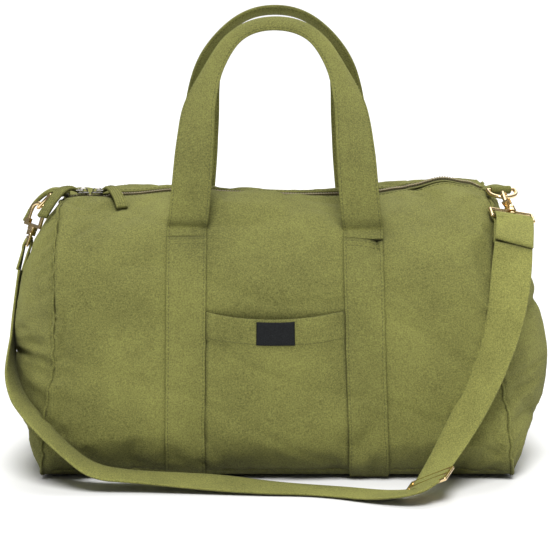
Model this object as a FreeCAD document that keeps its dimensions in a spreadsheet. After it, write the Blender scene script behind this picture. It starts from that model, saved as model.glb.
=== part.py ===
"""Canvas duffel bag with carry handles, zip and hooked shoulder strap.

Millimetres.  +X runs along the bag, -Y is the front with the patch pocket, +Z is up.
The origin is on the floor under the middle of the bag.
"""

import FreeCAD, Part
import math
import os

import Sketcher

V = FreeCAD.Vector
Rotation = FreeCAD.Rotation

DOC = FreeCAD.newDocument("DuffelBag")
SHEET = DOC.addObject("Spreadsheet::Sheet", "Dims")

# name, value in mm (or a count), what it is
DIMENSIONS = [
    ("SeamHalfLength", 208.0, "middle of the bag to each end seam"),
    ("EndHalfLength", 252.0, "middle of the bag to the crown of each domed end"),
    ("HalfDepth", 123.2, "half of the bag's depth at the canvas"),
    ("DepthShift", 2.2, "bag's middle plane behind the origin, as the pocket stands proud in front"),
    ("BodyHeight", 260.0, "bottom panel to zip"),
    ("FloorGap", 2.6, "bottom panel above the floor, held up by the straps under it"),
    ("TopRadius", 100.0, "rounding of the upper long edges"),
    ("BaseRadius", 34.0, "rounding of the lower long edges"),
    ("Canvas", 2.4, "thickness of a canvas panel with its lining"),
    ("PanelGap", 0.4, "gap drawn between neighbouring panels at a seam"),
    ("ZipHalfGap", 13.0, "middle of the zip to each panel's folded edge"),
    ("ZipHalfLength", 206.0, "half of the zip's length"),
    ("TapeHalfGap", 1.2, "middle of the zip to each tape"),
    ("TapeThickness", 1.2, "thickness of a zip tape"),
    ("ToothHalfGap", 0.7, "middle of the zip to each row of teeth"),
    ("ToothWidth", 3.4, "width of a row of teeth"),
    ("ToothHeight", 2.4, "height of a row of teeth"),
    ("StrapWidth", 38.0, "width of handle and shoulder straps"),
    ("StrapThickness", 2.4, "thickness of a handle strap"),
    ("StrapGap", 0.2, "gap drawn between a strap and the canvas under it"),
    ("StrapOffset", 82.5, "middle of the bag to the middle of each handle strap"),
    ("StitchHeight", 229.0, "height at which the straps leave the bag as handles"),
    ("WebbingThickness", 2.8, "thickness of the shoulder strap"),
    ("PocketHalfWidth", 62.8, "half of the patch pocket's width"),
    ("PocketLow", 37.0, "bottom of the open part of the patch pocket"),
    ("PocketHigh", 163.0, "mouth of the patch pocket"),
    ("PocketDepth", 6.6, "how far the patch pocket stands off the front"),
    ("PocketWall", 1.8, "thickness of the patch pocket's canvas"),
    ("LabelHalfWidth", 17.5, "half of the woven label's width"),
    ("LabelLow", 134.5, "lower edge of the woven label"),
    ("LabelHeight", 23.0, "height of the woven label"),
    ("LabelThickness", 0.9, "thickness of the woven label"),
    ("BindingWidth", 16.0, "width of the tape that binds an end seam inside"),
    ("BindingThickness", 1.4, "thickness of that tape"),
    ("RingWire", 1.8, "radius of a D-ring's wire"),
    ("RingRadius", 13.5, "radius of a D-ring's curve, at the middle of the wire"),
    ("RingReach", 5.0, "straight part of a D-ring's sides"),
    ("SleeveRadius", 3.6, "outside radius of the fold that holds a D-ring's bar"),
    ("RunningGap", 0.06, "radial gap of every turning fit"),
    ("HookWire", 2.0, "radius of a hook's curve"),
    ("HookRadius", 7.0, "radius of a hook's bend, at the middle of the wire"),
    ("HookDrop", 15.0, "ring to gate pin"),
    ("HookCollar", 5.0, "radius of a hook's collar"),
    ("PostRadius", 2.0, "radius of a hook's swivel post"),
    ("PinRadius", 0.8, "radius of a gate pin"),
    ("GateRadius", 1.7, "radius of a gate"),
    ("LoopWire", 1.6, "radius of a strap loop's wire"),
    ("LoopHalfWidth", 21.2, "middle of a strap loop to its side wires"),
    ("LoopTop", 25.8, "ring to a strap loop's upper bar"),
    ("LoopBar", 37.0, "ring to a strap loop's lower bar"),
    ("GlideHalfLength", 22.2, "middle of the tri-glide to its end wires"),
    ("GlideHalfHeight", 12.0, "middle of the tri-glide to its long wires"),
    ("GlideWire", 1.8, "radius of the tri-glide's wire"),
    ("SliderLength", 12.0, "length of a zip slider"),
    ("SliderWidth", 9.0, "width of a zip slider"),
    ("SliderPlate", 1.6, "thickness of a zip slider's plates"),
    ("BailRadius", 0.74, "radius of a zip pull's link"),
    ("BailHalfWidth", 5.2, "half width of a zip pull's link"),
    ("BailReach", 8.0, "length of a zip pull's link"),
    ("PullWidth", 9.0, "width of a zip pull's canvas strip"),
    ("PullThickness", 2.8, "thickness of a zip pull's canvas strip"),
]


def fill_sheet():
    """Writes each dimension into a row of the sheet: alias, value, meaning."""
    for row, (alias, value, meaning) in enumerate(DIMENSIONS, start=1):
        SHEET.set("A%d" % row, alias)
        SHEET.set("B%d" % row, str(value))
        SHEET.setAlias("B%d" % row, alias)
        SHEET.set("C%d" % row, meaning)
    DOC.recompute()


fill_sheet()


def dim(alias):
    """A driving dimension's value."""
    return float(SHEET.get(alias))


def cell(formula):
    """Turns a formula in aliases into an expression on the sheet."""
    for alias in sorted((name for name, _, _ in DIMENSIONS), key=len, reverse=True):
        formula = formula.replace("@" + alias, "Dims." + alias)
    return formula


def value(formula):
    """The number that a formula in aliases gives."""
    return float(SHEET.evalExpression(cell(formula)))


MIDDLE_HEIGHT = "@FloorGap + @BodyHeight / 2"
NODES = []


def node(label, thing):
    """Names a sub-part and lists it for writing."""
    thing.Label = label
    NODES.append(thing)
    return thing


def bind(thing, **formulas):
    """Binds properties such as Length or Placement.Base.x (written Base_x) to the sheet."""
    for path, formula in formulas.items():
        if path.startswith("Base_"):
            path = "Placement.Base." + path[-1]
        thing.setExpression(path, cell(formula))
    return thing


def direction_frame(z_axis, x_hint):
    """The rotation whose Z is z_axis and whose X leans towards x_hint."""
    return Rotation(V(*x_hint), V(0, 0, 0), V(*z_axis), "ZXY")


# ---------------------------------------------------------------- plain solids

def box(name, length, width, height, x, y, z):
    """A box, each size and corner a formula."""
    thing = DOC.addObject("Part::Box", name)
    return bind(thing, Length=length, Width=width, Height=height, Base_x=x, Base_y=y, Base_z=z)


def rod(name, radius, height, x="0", y="0", z="0", along="Z"):
    """A cylinder along one axis from the point given, each number a formula."""
    turns = {"Z": Rotation(), "X": Rotation(V(0, 1, 0), 90), "Y": Rotation(V(1, 0, 0), -90)}
    thing = DOC.addObject("Part::Cylinder", name)
    thing.Placement = FreeCAD.Placement(V(), turns[along])
    return bind(thing, Radius=radius, Height=height, Base_x=x, Base_y=y, Base_z=z)


def ball(name, radius, x="0", y="0", z="0"):
    """A sphere that rounds a wire's corner or end."""
    thing = DOC.addObject("Part::Sphere", name)
    return bind(thing, Radius=radius, Base_x=x, Base_y=y, Base_z=z)


def fuse(name, parts):
    """Joins solids that touch into one."""
    thing = DOC.addObject("Part::MultiFuse", name)
    thing.Shapes = parts
    thing.Refine = True
    return thing


def cut(name, base, tool):
    """Base without tool."""
    thing = DOC.addObject("Part::Cut", name)
    thing.Base = base
    thing.Tool = tool
    return thing


def common(name, parts):
    """What all the solids share."""
    thing = DOC.addObject("Part::MultiCommon", name)
    thing.Shapes = parts
    return thing


# ---------------------------------------------------------------- outlines

def origin_plane(body, role):
    """One of a body's own origin planes."""
    return next(plane for plane in body.Origin.OriginFeatures if plane.Role == role)


def new_sketch(body, name, role):
    sketch = body.newObject("Sketcher::SketchObject", name)
    sketch.AttachmentSupport = (origin_plane(body, role), [""])
    sketch.MapMode = "FlatFace"
    return sketch


def named(sketch, constraint, name, formula):
    """Adds a dimension to a sketch and binds it to the sheet."""
    index = sketch.addConstraint(constraint)
    sketch.renameConstraint(index, name)
    sketch.setExpression("Constraints." + name, cell(formula))


def rounded_outline(sketch, tag, inset):
    """The bag's cross-section, drawn inset from the canvas: flat sides, large radii above."""
    half_w = value("@HalfDepth - (%s)" % inset)
    half_h = value("@BodyHeight / 2 - (%s)" % inset)
    low = value("@BaseRadius - (%s)" % inset)
    high = value("@TopRadius - (%s)" % inset)
    up = V(0, 0, 1)
    line, arc = Part.LineSegment, Part.ArcOfCircle
    quarter = math.pi / 2
    first = sketch.GeometryCount
    sketch.addGeometry([
        line(V(-half_w + low, -half_h, 0), V(half_w - low, -half_h, 0)),
        arc(Part.Circle(V(half_w - low, -half_h + low, 0), up, low), -quarter, 0),
        line(V(half_w, -half_h + low, 0), V(half_w, half_h - high, 0)),
        arc(Part.Circle(V(half_w - high, half_h - high, 0), up, high), 0, quarter),
        line(V(half_w - high, half_h, 0), V(-half_w + high, half_h, 0)),
        arc(Part.Circle(V(-half_w + high, half_h - high, 0), up, high), quarter, 2 * quarter),
        line(V(-half_w, half_h - high, 0), V(-half_w, -half_h + low, 0)),
        arc(Part.Circle(V(-half_w + low, -half_h + low, 0), up, low), 2 * quarter, 3 * quarter),
    ], False)
    base, base_right, right, top_right, top, top_left, left, base_left = range(first, first + 8)
    ring = [base, base_right, right, top_right, top, top_left, left, base_left]
    for here, after in zip(ring, ring[1:] + ring[:1]):
        sketch.addConstraint(Sketcher.Constraint("Tangent", here, 2, after, 1))
    sketch.addConstraint([
        Sketcher.Constraint("Horizontal", base),
        Sketcher.Constraint("Vertical", right),
        Sketcher.Constraint("Horizontal", top),
        Sketcher.Constraint("Vertical", left),
        Sketcher.Constraint("Equal", base_right, base_left),
        Sketcher.Constraint("Equal", top_right, top_left),
    ])
    limit = Sketcher.Constraint
    named(sketch, limit("Radius", base_right, low), tag + "_low", "@BaseRadius - (%s)" % inset)
    named(sketch, limit("Radius", top_right, high), tag + "_high", "@TopRadius - (%s)" % inset)
    depth = "@HalfDepth - (%s)" % inset
    height = "@BodyHeight / 2 - (%s)" % inset
    named(sketch, limit("DistanceX", -1, 1, right, 1, half_w), tag + "_back", depth)
    named(sketch, limit("DistanceX", left, 1, -1, 1, half_w), tag + "_front", depth)
    named(sketch, limit("DistanceY", -1, 1, top, 1, half_h), tag + "_top", height)
    named(sketch, limit("DistanceY", base, 1, -1, 1, half_h), tag + "_base", height)


def bowed_outline(sketch, half_height, inset):
    """A long outline with straight sides and a shallow arc at each end, for the domed ends."""
    side = value("@SeamHalfLength")
    reach = value("@EndHalfLength - (%s)" % inset)
    half = value("%s - (%s)" % (half_height, inset))
    sag = reach - side
    radius = (half * half + sag * sag) / (2 * sag)
    centre = reach - radius
    swing = math.asin(half / radius)
    up = V(0, 0, 1)
    sketch.addGeometry([
        Part.LineSegment(V(-side, -half, 0), V(side, -half, 0)),
        Part.ArcOfCircle(Part.Circle(V(centre, 0, 0), up, radius), -swing, swing),
        Part.LineSegment(V(side, half, 0), V(-side, half, 0)),
        Part.ArcOfCircle(Part.Circle(V(-centre, 0, 0), up, radius), math.pi - swing, math.pi + swing),
    ], False)
    limit = Sketcher.Constraint
    sketch.addConstraint([limit("Coincident", here, 2, (here + 1) % 4, 1) for here in range(4)])
    sketch.addConstraint([
        limit("Horizontal", 0),
        limit("Horizontal", 2),
        limit("PointOnObject", 1, 3, -1),
        limit("PointOnObject", 3, 3, -1),
    ])
    height = "%s - (%s)" % (half_height, inset)
    bow = "(@EndHalfLength - (%s) - @SeamHalfLength)" % inset
    turn = "((%s) ^ 2 + %s ^ 2) / (2 * %s)" % (height, bow, bow)
    named(sketch, limit("DistanceX", -1, 1, 0, 2, side), "right_seam", "@SeamHalfLength")
    named(sketch, limit("DistanceX", 0, 1, -1, 1, side), "left_seam", "@SeamHalfLength")
    named(sketch, limit("DistanceY", -1, 1, 2, 1, half), "high_side", height)
    named(sketch, limit("DistanceY", 0, 1, -1, 1, half), "low_side", height)
    named(sketch, limit("Radius", 1, radius), "right_bow", turn)
    named(sketch, limit("Radius", 3, radius), "left_bow", turn)


def padded_body(name, length):
    """A body with a pad to both sides of a sketch that the caller draws first."""
    body = DOC.addObject("PartDesign::Body", name)

    def pad(sketch):
        feature = body.newObject("PartDesign::Pad", name + "_pad")
        feature.Profile = sketch
        feature.SideType = "Symmetric"
        bind(feature, Length=length)
        bind(body, Base_y="@DepthShift", Base_z=MIDDLE_HEIGHT)
        return body

    return body, pad


def section_ring(name, outer, inner, length):
    """A band round the bag's cross-section between two insets, open along its length."""
    body, pad = padded_body(name, length)
    sketch = new_sketch(body, name + "_section", "YZ_Plane")
    rounded_outline(sketch, "outer", outer)
    rounded_outline(sketch, "inner", inner)
    return pad(sketch)


def bag_form(name, inset):
    """The whole bag as one full solid: its section, plan and elevation intersected."""
    across, pad_across = padded_body(name + "_across", "2 * @EndHalfLength + 20")
    section = new_sketch(across, name + "_section", "YZ_Plane")
    rounded_outline(section, "side", inset)
    down, pad_down = padded_body(name + "_down", "@BodyHeight + 40")
    plan = new_sketch(down, name + "_plan", "XY_Plane")
    bowed_outline(plan, "@HalfDepth", inset)
    through, pad_through = padded_body(name + "_through", "2 * @HalfDepth + 40")
    front = new_sketch(through, name + "_front", "XZ_Plane")
    bowed_outline(front, "@BodyHeight / 2", inset)
    return common(name, [pad_across(section), pad_down(plan), pad_through(front)])


# ---------------------------------------------------------------- canvas panels

BIG = "@BodyHeight + @HalfDepth"


def bag_panels():
    """Front, back and bottom cut from one band; the ends cut from a domed shell."""
    band = section_ring("canvas_band", "0", "@Canvas", "2 * (@SeamHalfLength - @PanelGap / 2)")
    low_edge = "@FloorGap + @BaseRadius * 0.3"
    lengthwise = "-@SeamHalfLength - 10", "2 * @SeamHalfLength + 20"
    front = box("front_cutter", lengthwise[1], BIG, BIG, lengthwise[0],
                "@DepthShift - @ZipHalfGap - (%s)" % BIG, "%s + @PanelGap" % low_edge)
    back = box("back_cutter", lengthwise[1], BIG, BIG, lengthwise[0],
               "@DepthShift + @ZipHalfGap", "%s + @PanelGap" % low_edge)
    base = box("base_cutter", lengthwise[1], BIG, "%s" % low_edge, lengthwise[0],
               "@DepthShift - (%s) / 2" % BIG, "0")
    node("front_panel", common("front_panel", [band, front]))
    node("back_panel", common("back_panel", [band, back]))
    node("bottom_panel", common("bottom_panel", [band, base]))
    shell = cut("end_shell", bag_form("outer_form", "0"), bag_form("inner_form", "@Canvas"))
    for side, start in (("left", "-@SeamHalfLength - @PanelGap / 2 - 100"),
                        ("right", "@SeamHalfLength + @PanelGap / 2")):
        keep = box(side + "_end_cutter", "100", BIG, BIG, start, "-(%s) / 2" % BIG, "0")
        node(side + "_end_panel", common(side + "_end_panel", [shell, keep]))


def seam_bindings():
    """The tape that binds each end seam on the inside."""
    for side, sign in (("left", "-1"), ("right", "1")):
        ring = section_ring(side + "_binding_ring", "@Canvas + @StrapGap",
                            "@Canvas + @StrapGap + @BindingThickness", "@BindingWidth")
        bind(ring, Base_x="%s * (@SeamHalfLength - @BindingWidth / 2 - @PanelGap)" % sign)
        below = box(side + "_binding_cutter", "2 * @BindingWidth", BIG, "@BodyHeight - 12",
                    "%s * @SeamHalfLength - @BindingWidth" % sign, "-(%s) / 2" % BIG, "0")
        node(side + "_seam_binding", common(side + "_seam_binding", [ring, below]))


def handle_strap_runs():
    """Each handle strap's sewn run: down the front, under the bag and up the back."""
    for side, sign in (("left", "-1"), ("right", "1")):
        ring = section_ring(side + "_run_ring", "-@StrapGap - @StrapThickness", "-@StrapGap",
                            "@StrapWidth")
        bind(ring, Base_x="%s * @StrapOffset" % sign)
        below = box(side + "_run_cutter", "2 * @StrapWidth", BIG, "@StitchHeight + 1",
                    "%s * @StrapOffset - @StrapWidth" % sign, "-(%s) / 2" % BIG, "-1")
        node(side + "_strap_run", common(side + "_strap_run", [ring, below]))


# ---------------------------------------------------------------- zip

ZIP_TOP = "@FloorGap + @BodyHeight"


def zip_rows():
    """Two tapes, two rows of teeth and the stops at both ends."""
    long = "2 * @ZipHalfLength"
    tape_width = "@ZipHalfGap - @TapeHalfGap - @PanelGap"
    tape_z = "%s - @TapeThickness" % ZIP_TOP
    for side, tape_y, tooth_y in (
            ("front", "@DepthShift - @ZipHalfGap + @PanelGap", "@DepthShift - @ToothHalfGap - @ToothWidth"),
            ("back", "@DepthShift + @TapeHalfGap", "@DepthShift + @ToothHalfGap")):
        node(side + "_zip_tape", box(side + "_zip_tape", long, tape_width, "@TapeThickness",
                                     "-@ZipHalfLength", tape_y, tape_z))
        node(side + "_zip_teeth", box(side + "_zip_teeth", "%s - 4" % long, "@ToothWidth",
                                      "@ToothHeight", "2 - @ZipHalfLength", tooth_y, ZIP_TOP))
    stops = []
    for side, x in (("left", "-@ZipHalfLength"), ("right", "@ZipHalfLength - 1.6")):
        stops.append(box(side + "_stop", "1.6", "2 * (@ToothHalfGap + @ToothWidth)", "@ToothHeight",
                         x, "@DepthShift - @ToothHalfGap - @ToothWidth", ZIP_TOP))
    group = DOC.addObject("Part::Compound", "zip_stops")
    group.Links = stops
    node("zip_stops", group)


def zip_slider(name, x):
    """A slider: plates above and below the teeth, a post between the rows and a bridge."""
    mid = "%s - @SliderLength / 2" % x
    plate_z = "%s + @ToothHeight + 0.4" % ZIP_TOP
    under_z = "%s - @TapeThickness - 0.4 - @SliderPlate" % ZIP_TOP
    bridge_z = "%s + @SliderPlate - 0.1" % plate_z
    top = box(name + "_top", "@SliderLength", "@SliderWidth", "@SliderPlate", mid,
              "@DepthShift - @SliderWidth / 2", plate_z)
    under = box(name + "_under", "@SliderLength", "@SliderWidth", "@SliderPlate", mid,
                "@DepthShift - @SliderWidth / 2", under_z)
    post = box(name + "_post", "@SliderLength / 3", "@ToothHalfGap",
               "(%s) - (%s) + @SliderPlate / 2" % (plate_z, under_z), "%s - @SliderLength / 6" % x,
               "@DepthShift - @ToothHalfGap / 2", under_z)
    bridge = box(name + "_bridge", "@SliderLength * 0.5", "3", "3.4", "%s - @SliderLength / 4" % x,
                 "@DepthShift - 1.5", bridge_z)
    eye = rod(name + "_eye", "@BailRadius + @RunningGap", "8", x, "@DepthShift - 4",
              "%s + 1.9" % bridge_z, "Y")
    solid = fuse(name + "_solid", [top, under, post, bridge])
    node(name, cut(name, solid, eye))
    return value("%s + 1.9" % bridge_z)


def zip_pull(name, x, hinge_z, lean):
    """A wire link through the slider's bridge, and the canvas strip folded over the link."""
    half, reach, wire = "@BailHalfWidth", "@BailReach", "@BailRadius"
    rods = [
        rod(name + "_axle", wire, "2 * " + half, "0", "-" + half, "0", "Y"),
        rod(name + "_far", wire, "2 * " + half, reach, "-" + half, "0", "Y"),
        rod(name + "_near_side", wire, reach, "0", "-" + half, "0", "X"),
        rod(name + "_far_side", wire, reach, "0", half, "0", "X"),
    ]
    corners = [ball("%s_corner_%d" % (name, index), wire, corner_x, corner_y)
               for index, (corner_x, corner_y) in enumerate(
                   [("0", half), ("0", "-" + half), (reach, half), (reach, "-" + half)])]
    link = fuse(name + "_link", rods + corners)
    middle = V(x, dim("DepthShift"), hinge_z)
    link.Placement = FreeCAD.Placement(middle, direction_frame((0, 0, 1), (lean, 0, 0)))
    node(name + "_link", link)
    width, thick = dim("PullWidth"), dim("PullThickness")
    start = middle + V(lean * dim("BailReach"), 0, dim("BailRadius"))
    return start, width, thick


# ---------------------------------------------------------------- ribbons

def unit(vector):
    return vector * (1.0 / vector.Length)


def rounded_path(points, share=0.45):
    """Points of the path made of straight runs joined by tangent arcs, and each arc's radius."""
    path, radii = [points[0]], []
    for before, here, after in zip(points, points[1:], points[2:]):
        arrive, leave = here - before, after - here
        turn = unit(arrive).getAngle(unit(leave))
        cut_back = share * min(arrive.Length, leave.Length)
        radii.append(cut_back / math.tan(turn / 2) if turn > 1e-6 else float("inf"))
        enter = here - unit(arrive) * cut_back
        leave_at = here + unit(leave) * cut_back
        # middle of the tangent arc: on the bisector, at the corner's distance less the radius
        inward = unit(unit(leave) - unit(arrive)) if turn > 1e-6 else V(0, 0, 0)
        corner = radii[-1] * (1 / math.cos(turn / 2) - 1) if turn > 1e-6 else 0.0
        path += [enter, here + inward * corner, leave_at]
    return path + [points[-1]], radii


def ribbon(points, sideways, width, thickness):
    """A flat strip along a path of runs and arcs, its width turning from point to point."""
    path, radii = rounded_path(points)
    wanted = [sideways[0]]
    for before, here, after in zip(sideways, sideways[1:], sideways[2:]):
        wanted += [here * 0.75 + before * 0.25, here, here * 0.75 + after * 0.25]
    wanted.append(sideways[-1])
    corners = []
    for index, middle in enumerate(path):
        ahead = path[min(index + 1, len(path) - 1)] - path[max(index - 1, 0)]
        along = unit(ahead)
        side = unit(wanted[index] - along * wanted[index].dot(along)) * (width / 2)
        up = unit(along.cross(side)) * (thickness / 2)
        corners.append([middle - side - up, middle + side - up, middle + side + up, middle - side + up])
    faces = [Part.Face(Part.makePolygon(corners[0] + corners[0][:1])),
             Part.Face(Part.makePolygon(corners[-1] + corners[-1][:1]))]
    for here, after in zip(corners, corners[1:]):
        for low, high in ((0, 1), (1, 2), (2, 3), (3, 0)):
            faces.append(Part.Face(Part.makePolygon([here[low], here[high], after[high], here[low]])))
            faces.append(Part.Face(Part.makePolygon([here[low], after[high], after[low], here[low]])))
    solid = Part.makeSolid(Part.makeShell(faces))
    solid = solid if solid.Volume > 0 else solid.reversed()
    length = sum((after - here).Length for here, after in zip(path, path[1:]))
    return solid, length, radii


def ribbon_node(label, route, width, thickness):
    """A ribbon as a sub-part; route is a list of (point, sideways direction)."""
    points = [V(*point) for point, _ in route]
    sideways = [unit(V(*side)) for _, side in route]
    solid, length, radii = ribbon(points, sideways, width, thickness)
    thing = DOC.addObject("Part::Feature", label)
    thing.Shape = solid
    node(label, thing)
    print("%s: length %.1f, section %.1f x %.1f, volume %.0f (section times length %.0f), radii %s" % (
        label, length, width, thickness, solid.Volume, width * thickness * length,
        " ".join("%.0f" % radius for radius in radii)))
    return thing


# Half of the front handle, from the stitch line to the crown: (x, y, z), sideways direction.
HANDLE_HALF = [
    ((82.5, -97.6, 231.7), (1.0, 0.0, 0.0)),
    ((81.5, -103.0, 256.0), (1.0, 0.0, 0.0)),
    ((78.5, -103.5, 288.0), (0.99, 0.1, 0.0)),
    ((76.0, -95.0, 322.0), (0.95, 0.3, 0.0)),
    ((72.0, -76.0, 358.0), (0.75, 0.65, 0.1)),
    ((62.0, -54.0, 392.0), (0.4, 0.9, 0.15)),
    ((42.0, -37.0, 420.0), (0.1, 0.98, 0.1)),
    ((16.0, -30.0, 433.5), (0.0, 1.0, 0.1)),
]
BACK_HANDLE_RISE = 9.0


def handles():
    """The two arches of strap that a hand holds; the back one stands a little taller."""
    for side, flip, rise in (("front", 1.0, 0.0), ("back", -1.0, BACK_HANDLE_RISE)):
        shift = dim("DepthShift")
        half = []
        for index, ((x, y, z), (a, b, c)) in enumerate(HANDLE_HALF):
            lift = rise * min(index / 4.0, 1.0)
            half.append(((x, shift + flip * (y - shift), z + lift), (a, flip * b, c)))
        mirrored = [((-x, y, z), (a, -b, -c)) for (x, y, z), (a, b, c) in half]
        ribbon_node(side + "_handle", mirrored + half[::-1], dim("StrapWidth"), dim("StrapThickness"))


# ---------------------------------------------------------------- rings and hooks

def d_ring(name, middle, outward, along_bar):
    """A welded D-ring; its own frame has the bar along Y and the curve towards +X."""
    wire, radius, reach = "@RingWire", "@RingRadius", "@RingReach"
    curve = DOC.addObject("Part::Torus", name + "_curve")
    bind(curve, Radius1=radius, Radius2=wire, Base_x=reach)
    curve.Angle3 = 180
    curve.Placement = FreeCAD.Placement(V(), Rotation(V(0, 0, 1), -90))
    bind(curve, Base_x=reach)
    parts = [
        curve,
        rod(name + "_bar", wire, "2 * " + radius, "0", "-" + radius, "0", "Y"),
        rod(name + "_near_side", wire, reach, "0", "-" + radius, "0", "X"),
        rod(name + "_far_side", wire, reach, "0", radius, "0", "X"),
        ball(name + "_near_corner", wire, "0", "-" + radius),
        ball(name + "_far_corner", wire, "0", radius),
    ]
    ring = fuse(name, parts)
    normal = V(*outward).cross(V(*along_bar))
    ring.Placement = FreeCAD.Placement(V(*middle), Rotation(V(*outward), V(*along_bar), normal, "XZY"))
    return node(name, ring)


def ring_tab(name, root, middle, along_bar, width):
    """The canvas tab sewn at the end seam, folded round the D-ring's bar."""
    bar, axis = V(*middle), unit(V(*along_bar))
    outer, bore = dim("SleeveRadius"), dim("RingWire") + dim("RunningGap")
    sleeve = Part.makeCylinder(outer, width, bar - axis * (width / 2), axis)
    hole = Part.makeCylinder(bore, width + 4, bar - axis * (width / 2 + 2), axis)
    strip, _, _ = ribbon([V(*root), (V(*root) + bar) * 0.5, bar], [axis] * 3, width, 2 * dim("StrapThickness"))
    thing = DOC.addObject("Part::Feature", name)
    thing.Shape = strip.fuse(sleeve).cut(hole).removeSplitter()
    return node(name, thing)


def hook_parts(side, ring_point, down, across):
    """A sprung swivel hook and its strap loop.

    The hook's frame has its origin where the D-ring's wire passes, +Z up through the bend,
    and +X from the spine to the gate.
    """
    wire, radius, drop = "@HookWire", "@HookRadius", "@HookDrop"
    name = side + "_hook_body"
    bend = DOC.addObject("Part::Torus", name + "_bend")
    bend.Angle3 = 180
    bend.Placement = FreeCAD.Placement(V(), Rotation(V(1, 0, 0), 90))
    bind(bend, Radius1=radius, Radius2=wire, Base_z="4 - @HookRadius")
    bend_z = "4 - @HookRadius"
    foot_z = "-@HookDrop - 4.8"
    spine = rod(name + "_spine", wire, "(%s) - (%s)" % (bend_z, foot_z), "-" + radius, "0", foot_z)
    nose = rod(name + "_nose", wire, "2.6", radius, "0", "(%s) - 2.6" % bend_z)
    foot = box(name + "_foot", "2 * @HookRadius + 4.8", "6.4", "2.6", "-@HookRadius - 2.4", "-3.2", foot_z)
    ears = box(name + "_ears", "4.8", "6.4", "6.6", "@HookRadius - 2.4", "-3.2", foot_z)
    slot = box(name + "_slot", "6", "3.9", "8", "@HookRadius - 3", "-1.95", "%s + 2.5" % foot_z)
    pin_hole = rod(name + "_pin_hole", "@PinRadius + @RunningGap", "8", radius, "-4", "-" + drop, "Y")
    collar = rod(name + "_collar", "@HookCollar", "3.2", "0", "0", "(%s) - 3.1" % foot_z)
    post = rod(name + "_post", "@PostRadius", "8.6", "0", "0", "(%s) - 11.5" % foot_z)
    head = rod(name + "_head", "@PostRadius + 1.5", "1.6", "0", "0", "(%s) - 11.9" % foot_z)
    whole = fuse(name + "_whole", [bend, spine, nose, foot, ears, collar, post, head])
    slotted = cut(name + "_slotted", whole, slot)
    body = cut(name, slotted, pin_hole)

    gate_name = side + "_hook_gate"
    stem = rod(gate_name + "_stem", "@GateRadius", "@HookDrop + 4 - @HookRadius - 2.9", radius, "0", "-" + drop)
    heel = ball(gate_name + "_heel", "@GateRadius", radius, "0", "-" + drop)
    gate_hole = rod(gate_name + "_hole", "@PinRadius + @RunningGap", "8", radius, "-4", "-" + drop, "Y")
    gate = cut(gate_name, fuse(gate_name + "_solid", [stem, heel]), gate_hole)
    pin_name = side + "_gate_pin"
    pin = rod(pin_name + "_rod", "@PinRadius", "6.4", radius, "-3.2", "-" + drop, "Y")

    loop_name = side + "_strap_loop"
    half, loop_wire = "@LoopHalfWidth", "@LoopWire"
    loop_rods = [
        rod(loop_name + "_upper", loop_wire, "2 * " + half, "-" + half, "0", "-@LoopTop", "X"),
        rod(loop_name + "_lower", loop_wire, "2 * " + half, "-" + half, "0", "-@LoopBar", "X"),
        rod(loop_name + "_near", loop_wire, "@LoopBar - @LoopTop", "-" + half, "0", "-@LoopBar"),
        rod(loop_name + "_far", loop_wire, "@LoopBar - @LoopTop", half, "0", "-@LoopBar"),
    ]
    loop_balls = [ball("%s_corner_%d" % (loop_name, index), loop_wire, x, "0", z)
                  for index, (x, z) in enumerate([(half, "-@LoopTop"), ("-" + half, "-@LoopTop"),
                                                  (half, "-@LoopBar"), ("-" + half, "-@LoopBar")])]
    boss = rod(loop_name + "_boss", "@HookCollar - 0.4", "5.2", "0", "0", "-@LoopTop - 2.6")
    bore = rod(loop_name + "_bore", "@PostRadius + @RunningGap", "12", "0", "0", "-@LoopTop - 6")
    loop = cut(loop_name, fuse(loop_name + "_solid", loop_rods + loop_balls + [boss]), bore)

    up = V(*down) * -1
    turn = Rotation(V(*across["hook"]), V(0, 0, 0), up, "ZXY")
    loop_turn = Rotation(V(*across["loop"]), V(0, 0, 0), up, "ZXY")
    pin_group = DOC.addObject("Part::Compound", pin_name)
    pin_group.Links = [pin]
    for label, thing, rotation in ((name, body, turn), (gate_name, gate, turn),
                                   (pin_name, pin_group, turn), (loop_name, loop, loop_turn)):
        thing.Placement = FreeCAD.Placement(V(*ring_point), rotation)
        node(label, thing)
    print("%s hook: gate pin at %s along %s, shank along %s" % (
        side, placed(ring_point, turn, (dim("HookRadius"), 0, -dim("HookDrop"))),
        listed(turn.multVec(V(0, 1, 0))), listed(up)))
    return loop_turn, placed_vector(ring_point, loop_turn, (0, 0, -dim("LoopBar")))


def placed_vector(point, rotation, local):
    return V(*point) + rotation.multVec(V(*local))


def listed(vector):
    return "[%.5f, %.5f, %.5f]" % (vector.x, vector.y, vector.z)


def placed(point, rotation, local):
    return listed(placed_vector(point, rotation, local))


def strap_fold(name, bar, bar_direction, tail_end, width):
    """The strap's end: a sleeve round the loop's lower bar and the doubled, stitched tail."""
    axis = unit(V(*bar_direction))
    centre = V(*bar)
    bore = dim("LoopWire") + 0.3
    outer = bore + dim("WebbingThickness")
    sleeve = Part.makeCylinder(outer, width, centre - axis * (width / 2), axis)
    hole = Part.makeCylinder(bore, width + 4, centre - axis * (width / 2 + 2), axis)
    end = V(*tail_end)
    strip, _, _ = ribbon([centre, (centre + end) * 0.5, end], [axis] * 3, width, 2 * dim("WebbingThickness"))
    thing = DOC.addObject("Part::Feature", name)
    thing.Shape = strip.fuse(sleeve).cut(hole).removeSplitter()
    return node(name, thing)


# ---------------------------------------------------------------- where the fittings lie

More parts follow.
